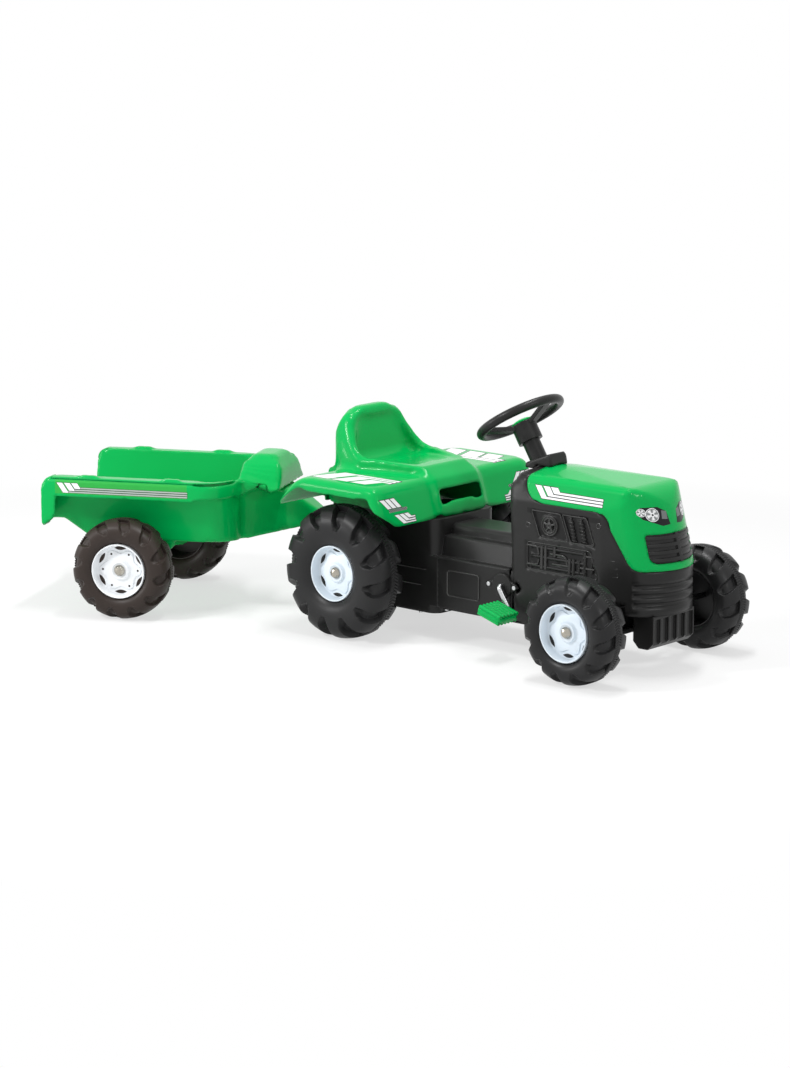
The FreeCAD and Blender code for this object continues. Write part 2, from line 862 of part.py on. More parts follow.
def tunnel_section():
    return mirrored(
        [
            (d.body_half_width, d.body_bottom, 0),
            (d.body_half_width, d.footrest_height, d.body_wall),
            (d.footrest_inner_half_width, d.footrest_height, d.body_wall / 2),
            (d.tunnel_step_half_width, d.tunnel_step_height, d.body_wall),
            (d.tunnel_top_half_width + d.body_wall, d.tunnel_step_height, d.body_wall / 2),
            (d.tunnel_top_half_width, d.tunnel_top, d.tunnel_round),
        ]
    )


def box_plan():
    return mirrored_plan(
        [
            (d.box_rear_x, d.body_half_width, d.box_corner_radius),
            (d.box_front_x, d.body_half_width, d.box_corner_radius),
        ]
    )


def flank_cut(corners, side, depth):
    """A recess in one flank of the housing."""
    inner = d.body_half_width - depth
    outer = d.body_half_width + d.overrun
    low, high = (inner, outer) if side > 0 else (-outer, -inner)
    return side_prism(corners, low, high)


def flank_relief(chassis):
    """The moulded engine detail on both flanks: fan, springs and pipes in shallow recesses."""
    edge = d.relief_depth
    span = d.panel_front_x - d.panel_rear_x
    tall = d.panel_top - d.panel_bottom
    middle_x = d.panel_rear_x + span * d.panel_split_share
    panel = [
        (d.panel_rear_x, d.panel_top, edge),
        (middle_x, d.panel_top, edge),
        (middle_x + d.panel_lean, d.panel_bottom, edge),
        (d.panel_rear_x + d.panel_lean, d.panel_bottom, edge),
    ]
    bay = [
        (middle_x + 2 * edge, d.panel_top, edge),
        (d.panel_front_x - d.panel_lean, d.panel_top, edge),
        (d.panel_front_x, d.panel_bottom, edge),
        (middle_x + d.panel_lean + 2 * edge, d.panel_bottom, edge),
    ]
    pipes = [
        (d.panel_rear_x - d.panel_lean / 2, d.pipe_top, edge),
        (d.panel_front_x - d.panel_lean / 2, d.pipe_top, edge),
        (d.panel_front_x + d.panel_lean / 2, d.pipe_bottom, edge),
        (d.panel_rear_x - d.panel_lean / 2, d.pipe_bottom, edge),
    ]
    hatch = [
        (d.hatch_rear_x, d.hatch_bottom, edge * 2),
        (d.hatch_front_x, d.hatch_bottom, edge * 2),
        (d.hatch_front_x, d.hatch_top, edge * 2),
        (d.hatch_rear_x, d.hatch_top, edge * 2),
    ]
    fan_x = d.panel_rear_x + span * d.fan_along_share
    fan_z = d.panel_bottom + tall / 2
    for side in (1, -1):
        floor = side * (d.body_half_width - edge - d.body_wall / 2)
        cuts = [
            flank_cut(panel, side, edge + d.body_wall / 2),
            flank_cut(bay, side, edge + d.body_wall / 2),
            flank_cut(pipes, side, edge),
            flank_cut(hatch, side, edge / 2),
        ]
        chassis = chassis.cut(Part.makeCompound(cuts))
        out = Vector(0, side, 0)
        fan = Part.makeCylinder(d.fan_radius, edge, Vector(fan_x, floor, fan_z), out)
        bowl_middle = Vector(fan_x, floor + side * edge / 2, fan_z)
        bowl = Part.makeCylinder(d.fan_radius * d.fan_bowl_share, edge, bowl_middle, out)
        raised = [fan.cut(bowl)]
        for share in SPRING_SHARES:
            spot = d.panel_rear_x + span * share
            low = Vector(spot, floor, d.panel_bottom + edge)
            high = Vector(spot - d.panel_lean / 2, floor, d.panel_bottom + tall * d.spring_top_share)
            raised.append(rod(d.spring_radius, low, high))
        pipe_y = side * (d.body_half_width - edge)
        for share in PIPE_SHARES:
            height = d.pipe_bottom + (d.pipe_top - d.pipe_bottom) * share
            start = Vector(d.panel_rear_x, pipe_y, height)
            end = Vector(d.panel_front_x - d.panel_lean, pipe_y, height)
            raised.append(rod(d.pipe_radius, start, end))
        chassis = chassis.multiFuse(raised)
    return chassis


def boss_places():
    """Screw bosses for the two underside covers, as (x, y, underside), grown into the side walls."""
    side = d.body_half_width - d.body_wall - d.boss_radius * (1 - d.boss_in_wall_share)
    tunnel_ends = (d.box_front_x + 3 * d.boss_radius, BAY_REAR_X - 3 * d.boss_radius)
    box_ends = (d.box_rear_x + 2 * d.box_corner_radius, d.box_front_x - 2 * d.box_corner_radius)
    places = [(x, s * side, d.body_bottom) for x in tunnel_ends for s in (1, -1)]
    return places + [(x, s * side, d.box_bottom) for x in box_ends for s in (1, -1)]


def nose_grooves():
    """Level grooves round the nose below the bonnet, which leave ribs between them."""
    pitch = (d.nose_rib_top - d.nose_rib_bottom) / d.nose_rib_count
    wide = d.body_half_width + d.overrun
    bands = []
    for k in range(int(d.nose_rib_count)):
        low = d.nose_rib_bottom + pitch * k
        high = low + pitch * d.nose_rib_share
        bands.append(block(d.bonnet_chin_x, d.nose_x + 2 * d.overrun, -wide, wide, low, high))
    return Part.makeCompound(bands).cut(front_body(-d.relief_depth))


def across_body(radius, spot):
    """A round hole right across the chassis."""
    reach = Vector(0, 2 * d.body_half_width, 0)
    return rod(radius, spot - reach, spot + reach)


def make_chassis(core):
    """The chassis in three mouldings, open below: engine housing, knee tunnel and the box under the seat."""
    far = d.overrun
    wall = d.body_wall
    tunnel_rear = d.box_front_x - 2 * d.box_corner_radius
    housing = front_body(0).cut(bonnet_region(0).cut(core)).cut(nose_grooves())
    tunnel = section_prism(tunnel_section(), tunnel_rear, d.body_rear_x + wall)
    box = plan_prism(box_plan(), d.box_bottom, d.box_top)
    outer = housing.multiFuse([tunnel, box])
    inside = d.body_half_width - wall
    mouth_top = d.body_bottom + 4 * wall
    rooms = [
        front_body(CAVITY_INSET),
        section_prism(tunnel_section(), tunnel_rear, d.body_rear_x + 2 * wall, -wall),
        plan_prism(box_plan(), 0, d.box_top - wall, -wall),
        block(d.body_rear_x + wall, BAY_REAR_X - wall, -inside, inside, 0, mouth_top),
        block(d.box_front_x - wall, d.body_rear_x + 2 * wall, -inside, inside, 0, mouth_top),
    ]
    chassis = outer.cut(rooms[0].multiFuse(rooms[1:]))
    web = block(
        BAY_REAR_X - 2 * d.body_half_width,
        BAY_REAR_X + wall,
        -d.cheek_half_width,
        d.cheek_half_width,
        d.web_height,
        d.web_height + d.web_thickness,
    )
    web = web.common(front_body(-wall / 2))
    bosses = [Part.makeCylinder(d.boss_radius, d.boss_height, Vector(*spot)) for spot in boss_places()]
    chassis = flank_relief(chassis.multiFuse([web] + bosses))
    hole = d.screw_radius + d.running_gap
    cuts = [Part.makeCylinder(hole, d.screw_length, Vector(*spot)) for spot in boss_places()]
    cuts.append(rod(d.shaft_radius + d.running_gap, on_column(d.shaft_low_height), on_column(DASH_TOP)))
    cuts.append(rod(d.shaft_radius + wall, on_column(CHEEK_HEIGHT), on_column(d.crown_top + far)))
    cuts.append(across_body(d.bearing_spigot_radius + d.seat_gap, CRANK_PLACE))
    cuts.append(across_body(d.bush_radius + d.seat_gap, Vector(0, 0, REAR_AXLE_HEIGHT)))
    sway = d.steer_arm * math.sin(math.radians(d.steer_limit)) + 2 * d.link_width
    sill = FRONT_AXLE_HEIGHT + 3 * d.arm_thickness
    cuts.append(block(BAY_REAR_X - far, BAY_REAR_X + far, -sway, sway, 0, sill))
    for spot, out in bearing_screw_places() + hitch_screw_places():
        cuts.append(rod(hole, spot, spot - out * 2 * d.screw_length))
    for spot in beam_screw_places():
        cuts.append(rod(hole, spot, spot + Vector(0, 0, d.screw_length)))
    for spot in seat_screw_places():
        cuts.append(rod(hole, spot, spot - Vector(0, 0, d.screw_length)))
    chassis = chassis.cut(Part.makeCompound(cuts))
    top = d.crown_top + far
    front_end = d.nose_x + d.nose_bulge + far
    front_side = [
        (rear_line(0) - d.seam_gap, 0, 0),
        (rear_line(top) - d.seam_gap, top, 0),
        (front_end, top, 0),
        (front_end, 0, 0),
    ]
    wide = d.fender_half_width
    front = side_prism(front_side, -wide, wide)
    back = block(d.box_rear_x - far, d.box_front_x + d.seam_gap, -wide, wide, 0, top)
    behind = chassis.cut(front)
    solid_node("chassis_shell", chassis.common(front))
    solid_node("knee_tunnel", behind.cut(back))
    solid_node("seat_box", behind.common(back))


def make_covers():
    """Flat covers that close the chassis from below, round the chain and the rear axle."""
    low = d.cover_inset
    tunnel = [
        (d.box_front_x + low, d.body_half_width - low, low),
        (BAY_REAR_X - low, d.body_half_width - low, low),
    ]
    box = [
        (d.box_rear_x + low, d.body_half_width - low, d.box_corner_radius),
        (d.box_front_x - low, d.body_half_width - low, d.box_corner_radius),
    ]
    for label, half, under in (("chain_cover", tunnel, d.body_bottom), ("axle_cover", box, d.box_bottom)):
        plate = plan_prism(mirrored_plan(half), under - d.cover_thickness, under)
        holes = [
            rod(d.screw_radius + d.running_gap, Vector(x, y, 0), Vector(x, y, z))
            for x, y, z in boss_places()
            if z == under
        ]
        solid_node(label, plate.cut(Part.makeCompound(holes)))


# Seat and mudguards


def seat_screw_places():
    """Screws that hold the seat moulding down on the box's top."""
    inset = d.box_corner_radius
    ends = (d.box_rear_x + inset, d.box_front_x - 2 * inset)
    side = d.body_half_width - d.boss_radius
    return [Vector(x, s * side, d.box_top + d.seat_wall) for x in ends for s in (1, -1)]


def fender_outline(low):
    return [
        (d.fender_front_x, d.box_top, 0),
        (d.fender_front_top_x, d.fender_top, d.fender_skirt),
        (d.back_front_x, d.fender_top, d.fender_half_width / 4),
        (d.fender_rear_x, d.fender_rear_bottom, 0),
        (d.fender_rear_x, low, 0),
        (d.fender_front_x, low, 0),
    ]


def fender_form(offset):
    """Both mudguards with the deck between them, moved out or in by offset."""
    wide = d.fender_half_width + offset
    form = side_prism(fender_outline(0), -wide, wide, offset)
    rails = [
        edge
        for edge in form.Edges
        if all(abs(abs(v.Y) - wide) < d.running_gap for v in edge.Vertexes)
        and edge.BoundBox.ZMin >= d.box_top - d.running_gap
    ]
    return form.makeFillet(d.fender_round + offset, rails)


def seat_form(offset):
    """The seat's mound with its backrest, filled, moved out or in by offset."""
    base = d.box_top - d.overrun
    drop = d.overrun / (d.seat_brow_height - d.box_top)
    foot_x = d.seat_foot_x + (d.seat_foot_x - d.seat_brow_x) * drop
    rear_x = d.back_front_x - d.back_thickness
    side = side_prism(
        [
            (foot_x, base, 0),
            (d.seat_brow_x, d.seat_brow_height, d.seat_brow_radius),
            (d.seat_front_x, d.seat_front_top, d.fender_skirt),
            (d.lip_foot_x, d.seat_front_top + d.lip_rise, d.lip_sweep_radius),
            (d.back_front_x, d.back_top, d.back_round),
            (rear_x, d.back_top, d.back_round),
            (rear_x - d.back_lean, base, 0),
        ],
        -d.fender_half_width,
        d.fender_half_width,
        offset,
    )
    return side.common(seat_limits(offset))


def seat_limits(offset):
    """The seat's outline from the front and from above, moved out or in by offset."""
    base = d.box_top - d.overrun
    rear_x = d.back_front_x - d.back_thickness - d.back_lean
    front_x = d.fender_front_x + 2 * d.overrun
    section = section_prism(
        mirrored(
            [
                (d.seat_side_half_width, base, 0),
                (d.seat_side_half_width, d.fender_top, d.lip_sweep_radius),
                (d.back_top_half_width, d.back_top, d.back_corner_radius),
            ]
        ),
        rear_x - d.overrun,
        front_x + d.overrun,
        offset,
    )
    plan = plan_prism(
        mirrored_plan(
            [
                (rear_x, d.seat_rear_half_width, d.lip_sweep_radius),
                (d.lip_foot_x, d.seat_side_half_width, d.lip_sweep_radius),
                (d.seat_front_x, d.seat_front_half_width, d.lip_sweep_radius),
                (front_x, d.seat_front_half_width, 0),
            ]
        ),
        base,
        d.back_top + d.overrun,
        offset,
    )
    return section.common(plan)


def sitting_room(offset):
    """The hollow that the rider sits in, inside the raised lip, moved out or in by offset."""
    low = d.seat_front_top - d.seat_dish
    high = d.back_top + d.overrun
    side = side_prism(
        [
            (d.fender_front_x + d.overrun, d.seat_front_top, 0),
            (d.seat_front_x - d.fender_skirt, d.seat_front_top, d.lip_sweep_radius),
            (d.lip_foot_x / 2, low, d.lip_sweep_radius),
            (d.lip_foot_x - d.recess_low, low, d.lip_sweep_radius / 2),
            (d.back_front_x - d.recess_high, high, 0),
            (d.fender_front_x + d.overrun, high, 0),
        ],
        -d.fender_half_width,
        d.fender_half_width,
        offset,
    )
    return side.common(seat_limits(offset - d.lip_width))


def make_seat():
    """Seat, backrest and both mudguards, moulded as one shell."""
    wall = d.seat_wall
    wide = d.fender_half_width
    far = d.overrun
    inner_side = d.body_half_width
    shell = fender_form(0).fuse(seat_form(0)).cut(sitting_room(0))
    shell = shell.cut(fender_form(-wall)).cut(seat_form(-wall).cut(sitting_room(wall)))
    arch = [
        (d.fender_front_x + far, -far, 0),
        (d.fender_front_x + far, d.box_top, 0),
        (d.fender_front_x - wall, d.box_top, 0),
        (d.fender_front_top_x - d.fender_skirt, d.fender_top - d.fender_skirt, d.fender_skirt),
        (d.back_front_x, d.fender_top - d.fender_skirt, d.fender_half_width / 4),
        (d.fender_rear_x + wall, d.fender_rear_bottom, 0),
        (d.fender_rear_x - far, d.fender_rear_bottom, 0),
        (d.fender_rear_x - far, -far, 0),
    ]
    shell = shell.cut(side_prism(arch, inner_side + 2 * wall, wide + far))
    shell = shell.cut(side_prism(arch, -wide - far, -inner_side - 2 * wall))
    front_x = d.fender_front_x + 2 * far
    shell = shell.cut(block(d.fender_rear_x - far, front_x, -wide, wide, -far, d.box_top))
    round_top = d.box_top + d.skirt_corner_radius
    skirt_rear = d.fender_front_top_x - d.fender_skirt
    adds = []
    for side in (1, -1):
        middle_y = side * (wide - d.skirt_corner_radius)
        low_y, high_y = sorted((middle_y, side * (wide + far)))
        corner = block(skirt_rear, front_x, low_y, high_y, d.box_top - far, round_top)
        start = Vector(skirt_rear, middle_y, round_top)
        shell = shell.cut(corner.cut(rod(d.skirt_corner_radius, start, Vector(front_x, middle_y, round_top))))
        low_y, high_y = sorted((side * inner_side, side * (inner_side + wall)))
        skirt_front = d.fender_front_top_x - wall
        adds.append(block(d.box_rear_x, skirt_front, low_y, high_y, d.box_top, d.fender_top - wall / 2))
    for spot in seat_screw_places():
        inner_y = spot.y - math.copysign(d.boss_radius, spot.y)
        low_y, high_y = sorted((inner_y, math.copysign(inner_side + wall / 2, spot.y)))
        low_x = spot.x - d.boss_radius
        adds.append(block(low_x, spot.x + d.boss_radius, low_y, high_y, d.box_top, d.box_top + wall))
    shell = shell.multiFuse(adds)
    slot_low = d.slot_middle - d.slot_height / 2
    slot_high = d.slot_middle + d.slot_height / 2
    slot = section_prism(
        mirrored(
            [
                (d.slot_half_width * d.slot_foot_share, slot_low, d.slot_height / 2),
                (d.slot_half_width, slot_high, d.slot_height / 4),
            ]
        ),
        d.seat_front_x,
        d.fender_front_x + far,
    )
    hole = d.screw_radius + d.running_gap
    holes = [rod(hole, spot, spot - Vector(0, 0, wall)) for spot in seat_screw_places()]
    solid_node("seat_shell", shell.cut(slot).cut(Part.makeCompound(holes)))


# Steering


def beam_screw_places():
    middle = (d.beam_rear_x + d.wheelbase - d.yoke_thickness / 2) / 2
    return [Vector(middle, s * d.yoke_inner_y / 2, d.bay_top) for s in (1, -1)]


def make_cowl(skin):
    """The cowl at the column's foot, seated on the dashboard and the bonnet."""
    base = d.crown_top - 3 * d.body_wall
    outline = [
        (d.cowl_rear_x, base, 0),
        (d.cowl_rear_x, d.cowl_rear_height, d.body_wall),
        (d.cowl_ridge_x, d.cowl_front_height, d.body_wall),
        (d.cowl_front_x, base, 0),
    ]
    plan = mirrored_plan(
        [
            (d.cowl_rear_x, d.cowl_half_width, d.cowl_half_width / 2),
            (d.cowl_front_x, d.cowl_half_width, d.cowl_half_width / 3),
        ]
    )
    cowl = side_prism(outline, -d.cowl_half_width, d.cowl_half_width)
    cowl = cowl.common(plan_prism(plan, base, d.steer_wheel_height)).cut(skin)
    foot = on_column(d.cowl_rear_height)
    cowl = cowl.cut(rod(d.column_radius + d.seat_gap, foot, STEER_TOP))
    shaft_room = rod(d.shaft_radius + d.body_wall, on_column(CHEEK_HEIGHT), STEER_TOP)
    solid_node("steering_cowl", cowl.cut(shaft_room))


def make_column():
    """The fixed tube round the steering shaft."""
    foot = on_column(d.cowl_rear_height)
    top = d.steer_dish + d.hub_height / 2
    length = (STEER_TOP - foot).Length - top
    sheath = primitive("Cylinder", "ColumnSheath", Radius="column_radius")
    sheath.Height = length
    bore = primitive("Cylinder", "ColumnBore", Radius="shaft_radius + running_gap")
    bore.Height = length
    node("steering_column", joined("Cut", "ColumnTube", sheath, bore), Placement(foot, STEER_TURN))


def make_steering_wheel():
    """Rim, three spokes and a skirted hub, with a cap over the nut."""
    rim = primitive("Torus", "SteerRim", Radius1="steer_wheel_radius", Radius2="steer_tube_radius")
    low = -d.steer_dish - d.hub_height
    foot = Placement(Vector(0, 0, low), Rotation())
    hub = primitive("Cylinder", "SteerHub", foot, Radius="hub_radius", Height="hub_height")
    spokes = []
    for k in range(3):
        turn = Rotation(Vector(0, 0, 1), 120 * k)
        start = Vector(d.hub_radius * d.spoke_root_share, 0, -d.steer_dish - d.spoke_thickness)
        end = Vector(d.steer_wheel_radius, 0, 0)
        lean = math.degrees(math.atan2(end.z - start.z, end.x - start.x))
        spoke = primitive("Box", f"SteerSpoke{k}", Width="spoke_width", Height="spoke_thickness")
        spoke.Length = (end - start).Length
        tilt = Rotation(Vector(0, 1, 0), -lean)
        corner = tilt.multVec(Vector(0, -d.spoke_width / 2, -d.spoke_thickness / 2))
        spoke.Placement = Placement(Vector(), turn) * Placement(start + corner, tilt)
        spokes.append(spoke)
    wheel = joined("MultiFuse", "SteerWheelBlank", rim, hub, *spokes)
    skirt = primitive("Cylinder", "SteerSkirtBore", foot)
    skirt.setExpression("Radius", bound("column_radius + 4 * running_gap"))
    skirt.setExpression("Height", bound("hub_height * hub_skirt_share"))
    bore = primitive("Cylinder", "SteerHubBore", foot)
    bore.setExpression("Radius", bound("shaft_radius + seat_gap"))
    bore.setExpression("Height", bound("hub_height - spoke_thickness / 2"))
    holes = joined("MultiFuse", "SteerHoles", skirt, bore)
    node("steering_wheel", joined("Cut", "SteerWheel", wheel, holes), Placement(STEER_TOP, STEER_TURN))
    cap = new_body("steering_wheel_cap")
    profile = new_sketch(cap, "SteerCapProfile", "XZ_Plane")
    sketch_outline(
        profile,
        [
            ("0", "seat_gap - steer_dish"),
            ("hub_radius * steer_cap_rim_share", "seat_gap - steer_dish"),
            ("hub_radius * steer_cap_rim_share", "-1 * steer_dish * steer_cap_edge_share"),
            ("hub_radius * steer_cap_step_share", "-1 * steer_dish * steer_cap_brow_share"),
            ("0", "-1 * steer_dish * steer_cap_top_share"),
        ],
    )
    dome = feature(cap, "Revolution", "SteerCapDome", profile)
    dome.ReferenceAxis = (profile, ["V_Axis"])
    node("steering_wheel_cap", cap, Placement(STEER_TOP, STEER_TURN))


def steer_points():
    """Shaft top, shaft foot, finger top and finger tip."""
    top = STEER_TOP - STEER_UP * (d.steer_dish + d.spoke_thickness)
    foot = on_column(d.shaft_low_height)
    back = Vector(-STEER_UP.z, 0, STEER_UP.x)
    finger = foot + back * d.steer_arm
    drop = finger.z - (FRONT_AXLE_HEIGHT + d.arm_thickness / 2 + d.running_gap)
    return top, foot, finger, finger - STEER_UP * (drop / STEER_UP.z)


def make_shaft():
    """The steering shaft, with the crank and finger that push the cross link."""
    top, foot, finger, tip = steer_points()
    shaft = rod(d.shaft_radius, foot - STEER_UP * d.shaft_radius, top)
    crank = rod(d.finger_root_radius, foot, finger)
    pin = rod(d.finger_radius, finger + STEER_UP * d.finger_radius, tip)
    knob = Part.makeSphere(d.finger_root_radius, finger)
    solid_node("steering_shaft", shaft.multiFuse([crank, pin, knob]))


def stub_length(wheel_y):
    """From the middle plane to the axle's end inside the cap."""
    return wheel_y + d.rim_lip_offset - d.rim_hub_inset + d.cap_height - 3 * d.cap_wall


def hub_back(wheel_y, tyre_width):
    """From the middle plane to just inside the wheel's hub."""
    return wheel_y - tyre_width / 2 * TYRE_SHARES[0][0] - d.rim_wall - d.seat_gap


def make_knuckles():
    """Steering knuckles: kingpin boss, stub axle and a steering arm that points back."""
    across = Placement(Vector(), Rotation(Vector(1, 0, 0), -90))
    down = Placement(Vector(0, 0, -d.knuckle_height / 2), Rotation())
    arm_spot = Placement(Vector(-d.steer_arm, 0, -d.arm_thickness / 2), Rotation())
    arm_corner = Placement(Vector(-d.steer_arm, -d.link_width / 2, -d.arm_thickness / 2), Rotation())
    boss = primitive("Cylinder", "KnuckleBoss", down, Radius="knuckle_radius", Height="knuckle_height")
    stub = primitive("Cylinder", "KnuckleStub", across, Radius="axle_radius")
    stub.Height = stub_length(d.wheel_middle_y) - d.kingpin_y
    collar = primitive("Cylinder", "KnuckleCollar", across, Radius="rim_hub_radius - 2 * rim_wall")
    collar.Height = hub_back(d.wheel_middle_y, d.front_tyre_width) - d.kingpin_y
    arm = primitive("Box", "KnuckleArm", arm_corner, Length="steer_arm", Width="link_width")
    arm.setExpression("Height", bound("arm_thickness"))
    eye = primitive("Cylinder", "KnuckleEye", arm_spot, Radius="link_width / 2", Height="arm_thickness")
    blank = joined("MultiFuse", "KnuckleBlank", boss, stub, collar, arm, eye)
    kingpin = primitive("Cylinder", "KnuckleBore", down, Height="knuckle_height")
    kingpin.setExpression("Radius", bound("kingpin_radius + running_gap"))
    peg = primitive("Cylinder", "KnucklePegBore", arm_spot, Height="arm_thickness")
    peg.setExpression("Radius", bound("finger_radius + running_gap"))
    knuckle = joined("Cut", "Knuckle", blank, joined("MultiFuse", "KnuckleBores", kingpin, peg))
    for side_name, side in (("left", 1), ("right", -1)):
        spot = Vector(d.wheelbase, side * d.kingpin_y, FRONT_AXLE_HEIGHT)
        turn = Rotation(Vector(1, 0, 0), 0 if side > 0 else 180)
        copy_of(f"steering_knuckle_{side_name}", knuckle, Placement(spot, turn))


def make_axle_beam():
    """The front axle beam with a yoke at each end, and the kingpins that hold the knuckles."""
    half = d.knuckle_height / 2 + d.seat_gap
    low = FRONT_AXLE_HEIGHT - half - d.yoke_thickness
    middle_x = d.wheelbase
    web_half = d.yoke_thickness / 2
    beam = block(d.beam_rear_x, d.beam_front_x, -d.yoke_inner_y, d.yoke_inner_y, low, d.bay_top)
    for low_x, high_x in ((d.beam_rear_x, middle_x - web_half), (middle_x + web_half, d.beam_front_x)):
        room_y = d.yoke_inner_y - web_half
        room_top = d.bay_top - d.yoke_thickness
        beam = beam.cut(block(low_x, high_x, -room_y, room_y, low + d.yoke_thickness, room_top))
    pins = []
    low_x = middle_x - d.knuckle_radius
    high_x = middle_x + d.knuckle_radius
    pin_length = 2 * half + 2 * d.yoke_thickness
    for side in (1, -1):
        end_y = side * d.kingpin_y
        low_y, high_y = sorted((side * (d.yoke_inner_y - d.yoke_thickness), end_y))
        for base in (low, FRONT_AXLE_HEIGHT + half):
            plate = block(low_x, high_x, low_y, high_y, base, base + d.yoke_thickness)
            end = Part.makeCylinder(d.knuckle_radius, d.yoke_thickness, Vector(middle_x, end_y, base))
            beam = beam.multiFuse([plate, end])
        pin_low = Vector(middle_x, end_y, low)
        pin_top = pin_low + Vector(0, 0, pin_length)
        head = Part.makeCylinder(d.kingpin_head_radius, d.screw_head_height, pin_top)
        pins.append(rod(d.kingpin_radius, pin_low, pin_top).fuse(head))
        beam = beam.cut(rod(d.kingpin_radius + d.running_gap, pin_low, pin_top))
    for spot in beam_screw_places():
        beam = beam.cut(rod(d.screw_radius + d.running_gap, spot, spot - Vector(0, 0, d.yoke_thickness)))
    solid_node("front_axle_beam", beam)
    solid_node("kingpins", Part.makeCompound(pins))


def make_cross_link():
    """The cross link between the knuckles, with a slotted tongue for the shaft's finger."""
    finger = steer_points()[2]
    bar_x = d.wheelbase - d.steer_arm
    low = FRONT_AXLE_HEIGHT + d.arm_thickness / 2 + d.seat_gap
    high = low + d.arm_thickness
    half = d.link_width / 2
    at_link = finger - STEER_UP * ((finger.z - (low + high) / 2) / STEER_UP.z)
    slide = d.arm_thickness / 2 * math.tan(STEER_TILT) + d.finger_radius / math.cos(STEER_TILT)
    swing = 1 - math.cos(math.radians(d.steer_limit))
    wander = d.steer_arm * (1 / STEER_UP.z - 1) * swing
    slot_rear = at_link.x - slide - 2 * d.seat_gap
    slot_front = at_link.x + slide + wander + 2 * d.seat_gap
    plan = [
        (bar_x + half, d.kingpin_y, 0),
        (bar_x - half, d.kingpin_y, 0),
        (bar_x - half, 2 * half, half),
        (slot_front + half, half, half),
        (slot_rear - half, half, half),
    ]
    link = plan_prism(mirrored_plan(plan), low, high)
    for side in (1, -1):
        spot = Vector(bar_x, side * d.kingpin_y, low)
        end = Part.makeCylinder(half, d.arm_thickness, spot)
        peg = rod(d.finger_radius, spot, spot - Vector(0, 0, d.arm_thickness + d.seat_gap))
        link = link.multiFuse([end, peg])
    slot_half = d.finger_radius + d.seat_gap
    link = link.cut(block(slot_rear, slot_front, -slot_half, slot_half, low, high))
    solid_node("steering_link", link)


# Pedals and chain drive


def bent_path(points, bend):
    """Straight runs joined by tangent arcs."""
    edges = []
    last = points[0]
    for k in range(1, len(points) - 1):
        here = points[k]
        back = (points[k - 1] - here).normalize()
        ahead = (points[k + 1] - here).normalize()
        half = back.getAngle(ahead) / 2
        reach = bend / math.tan(half)
        top = here + (back + ahead).normalize() * (bend / math.sin(half) - bend)
        edges.append(Part.LineSegment(last, here + back * reach).toShape())
        edges.append(Part.Arc(here + back * reach, top, here + ahead * reach).toShape())
        last = here + ahead * reach
    edges.append(Part.LineSegment(last, points[-1]).toShape())
    return Part.Wire(edges)


def crank_arm():
    """The right crank arm's direction and length at rest."""
    turn = math.radians(d.crank_angle)
    return Vector(math.cos(turn), 0, math.sin(turn)) * d.crank_radius


def crank_arm_y():
    """How far out the crank's arms stand, clear of the bearings' faces."""
    return d.body_half_width + d.bearing_thickness + d.crank_bend_radius + d.crank_stand_off


def pedal_middle_y():
    return crank_arm_y() + d.crank_bend_radius + d.seat_gap + d.pedal_width / 2


def make_crank():
    """The pedal crank, bent from one round bar."""
    arm = crank_arm()
    out = Vector(0, crank_arm_y(), 0)
    tip = Vector(0, pedal_middle_y() + d.pedal_width / 2 - d.cap_wall, 0)
    points = [
        CRANK_PLACE + arm - tip,
        CRANK_PLACE + arm - out,
        CRANK_PLACE - out,
        CRANK_PLACE + out,
        CRANK_PLACE - arm + out,
        CRANK_PLACE - arm + tip,
    ]
    path = bent_path(points, d.crank_bend_radius)
    ring = Part.Wire(Part.Circle(points[0], Vector(0, 1, 0), d.crank_rod_radius).toShape())
    solid_node("pedal_crank", path.makePipeShell([ring], True, True))


def make_pedals():
    """Grooved pedals that turn on the crank's pins."""
    body = new_body("Pedal")
    half = "(pedal_length / 2)"
    flat = f"{half} * pedal_flat_share"
    thick = "(pedal_thickness / 2)"
    edge = f"{thick} * pedal_edge_share"
    side = new_sketch(body, "PedalSide", "XZ_Plane")
    sketch_outline(
        side,
        [
            (f"-1 * {half}", f"-1 * {edge}"),
            (f"-1 * {flat}", f"-1 * {thick}"),
            (flat, f"-1 * {thick}"),
            (half, f"-1 * {edge}"),
            (half, edge),
            (flat, thick),
            (f"-1 * {flat}", thick),
            (f"-1 * {half}", edge),
        ],
    )
    feature(body, "Pad", "PedalBlock", side, "pedal_width", symmetric=True)
    grooves = new_sketch(body, "PedalGrooves", "XZ_Plane")
    pitch = "(pedal_length * pedal_flat_share / pedal_rib_count)"
    for k in range(int(d.pedal_rib_count)):
        left = f"-1 * {flat} + {pitch} * ({k} + groove_start_share)"
        right = f"-1 * {flat} + {pitch} * ({k} + groove_end_share)"
        for sign in (1, -1):
            floor = f"{sign} * ({thick} - pedal_rib_depth)"
            over = f"{sign} * ({thick} + pedal_rib_depth)"
            sketch_outline(grooves, [(left, floor), (right, floor), (right, over), (left, over)])
    feature(body, "Pocket", "PedalGrooveCut", grooves, "2 * pedal_width", symmetric=True)
    bore = new_sketch(body, "PedalBore", "XZ_Plane")
    sketch_circle(bore, "0", "0", "crank_rod_radius + running_gap")
    body.Tip = feature(body, "Pocket", "PedalBoreCut", bore, "2 * pedal_width", symmetric=True)
    arm = crank_arm()
    for side_name, sign in (("left", 1), ("right", -1)):
        spot = CRANK_PLACE - arm * sign + Vector(0, sign * pedal_middle_y(), 0)
        copy_of(f"pedal_{side_name}", body, Placement(spot, Rotation()))


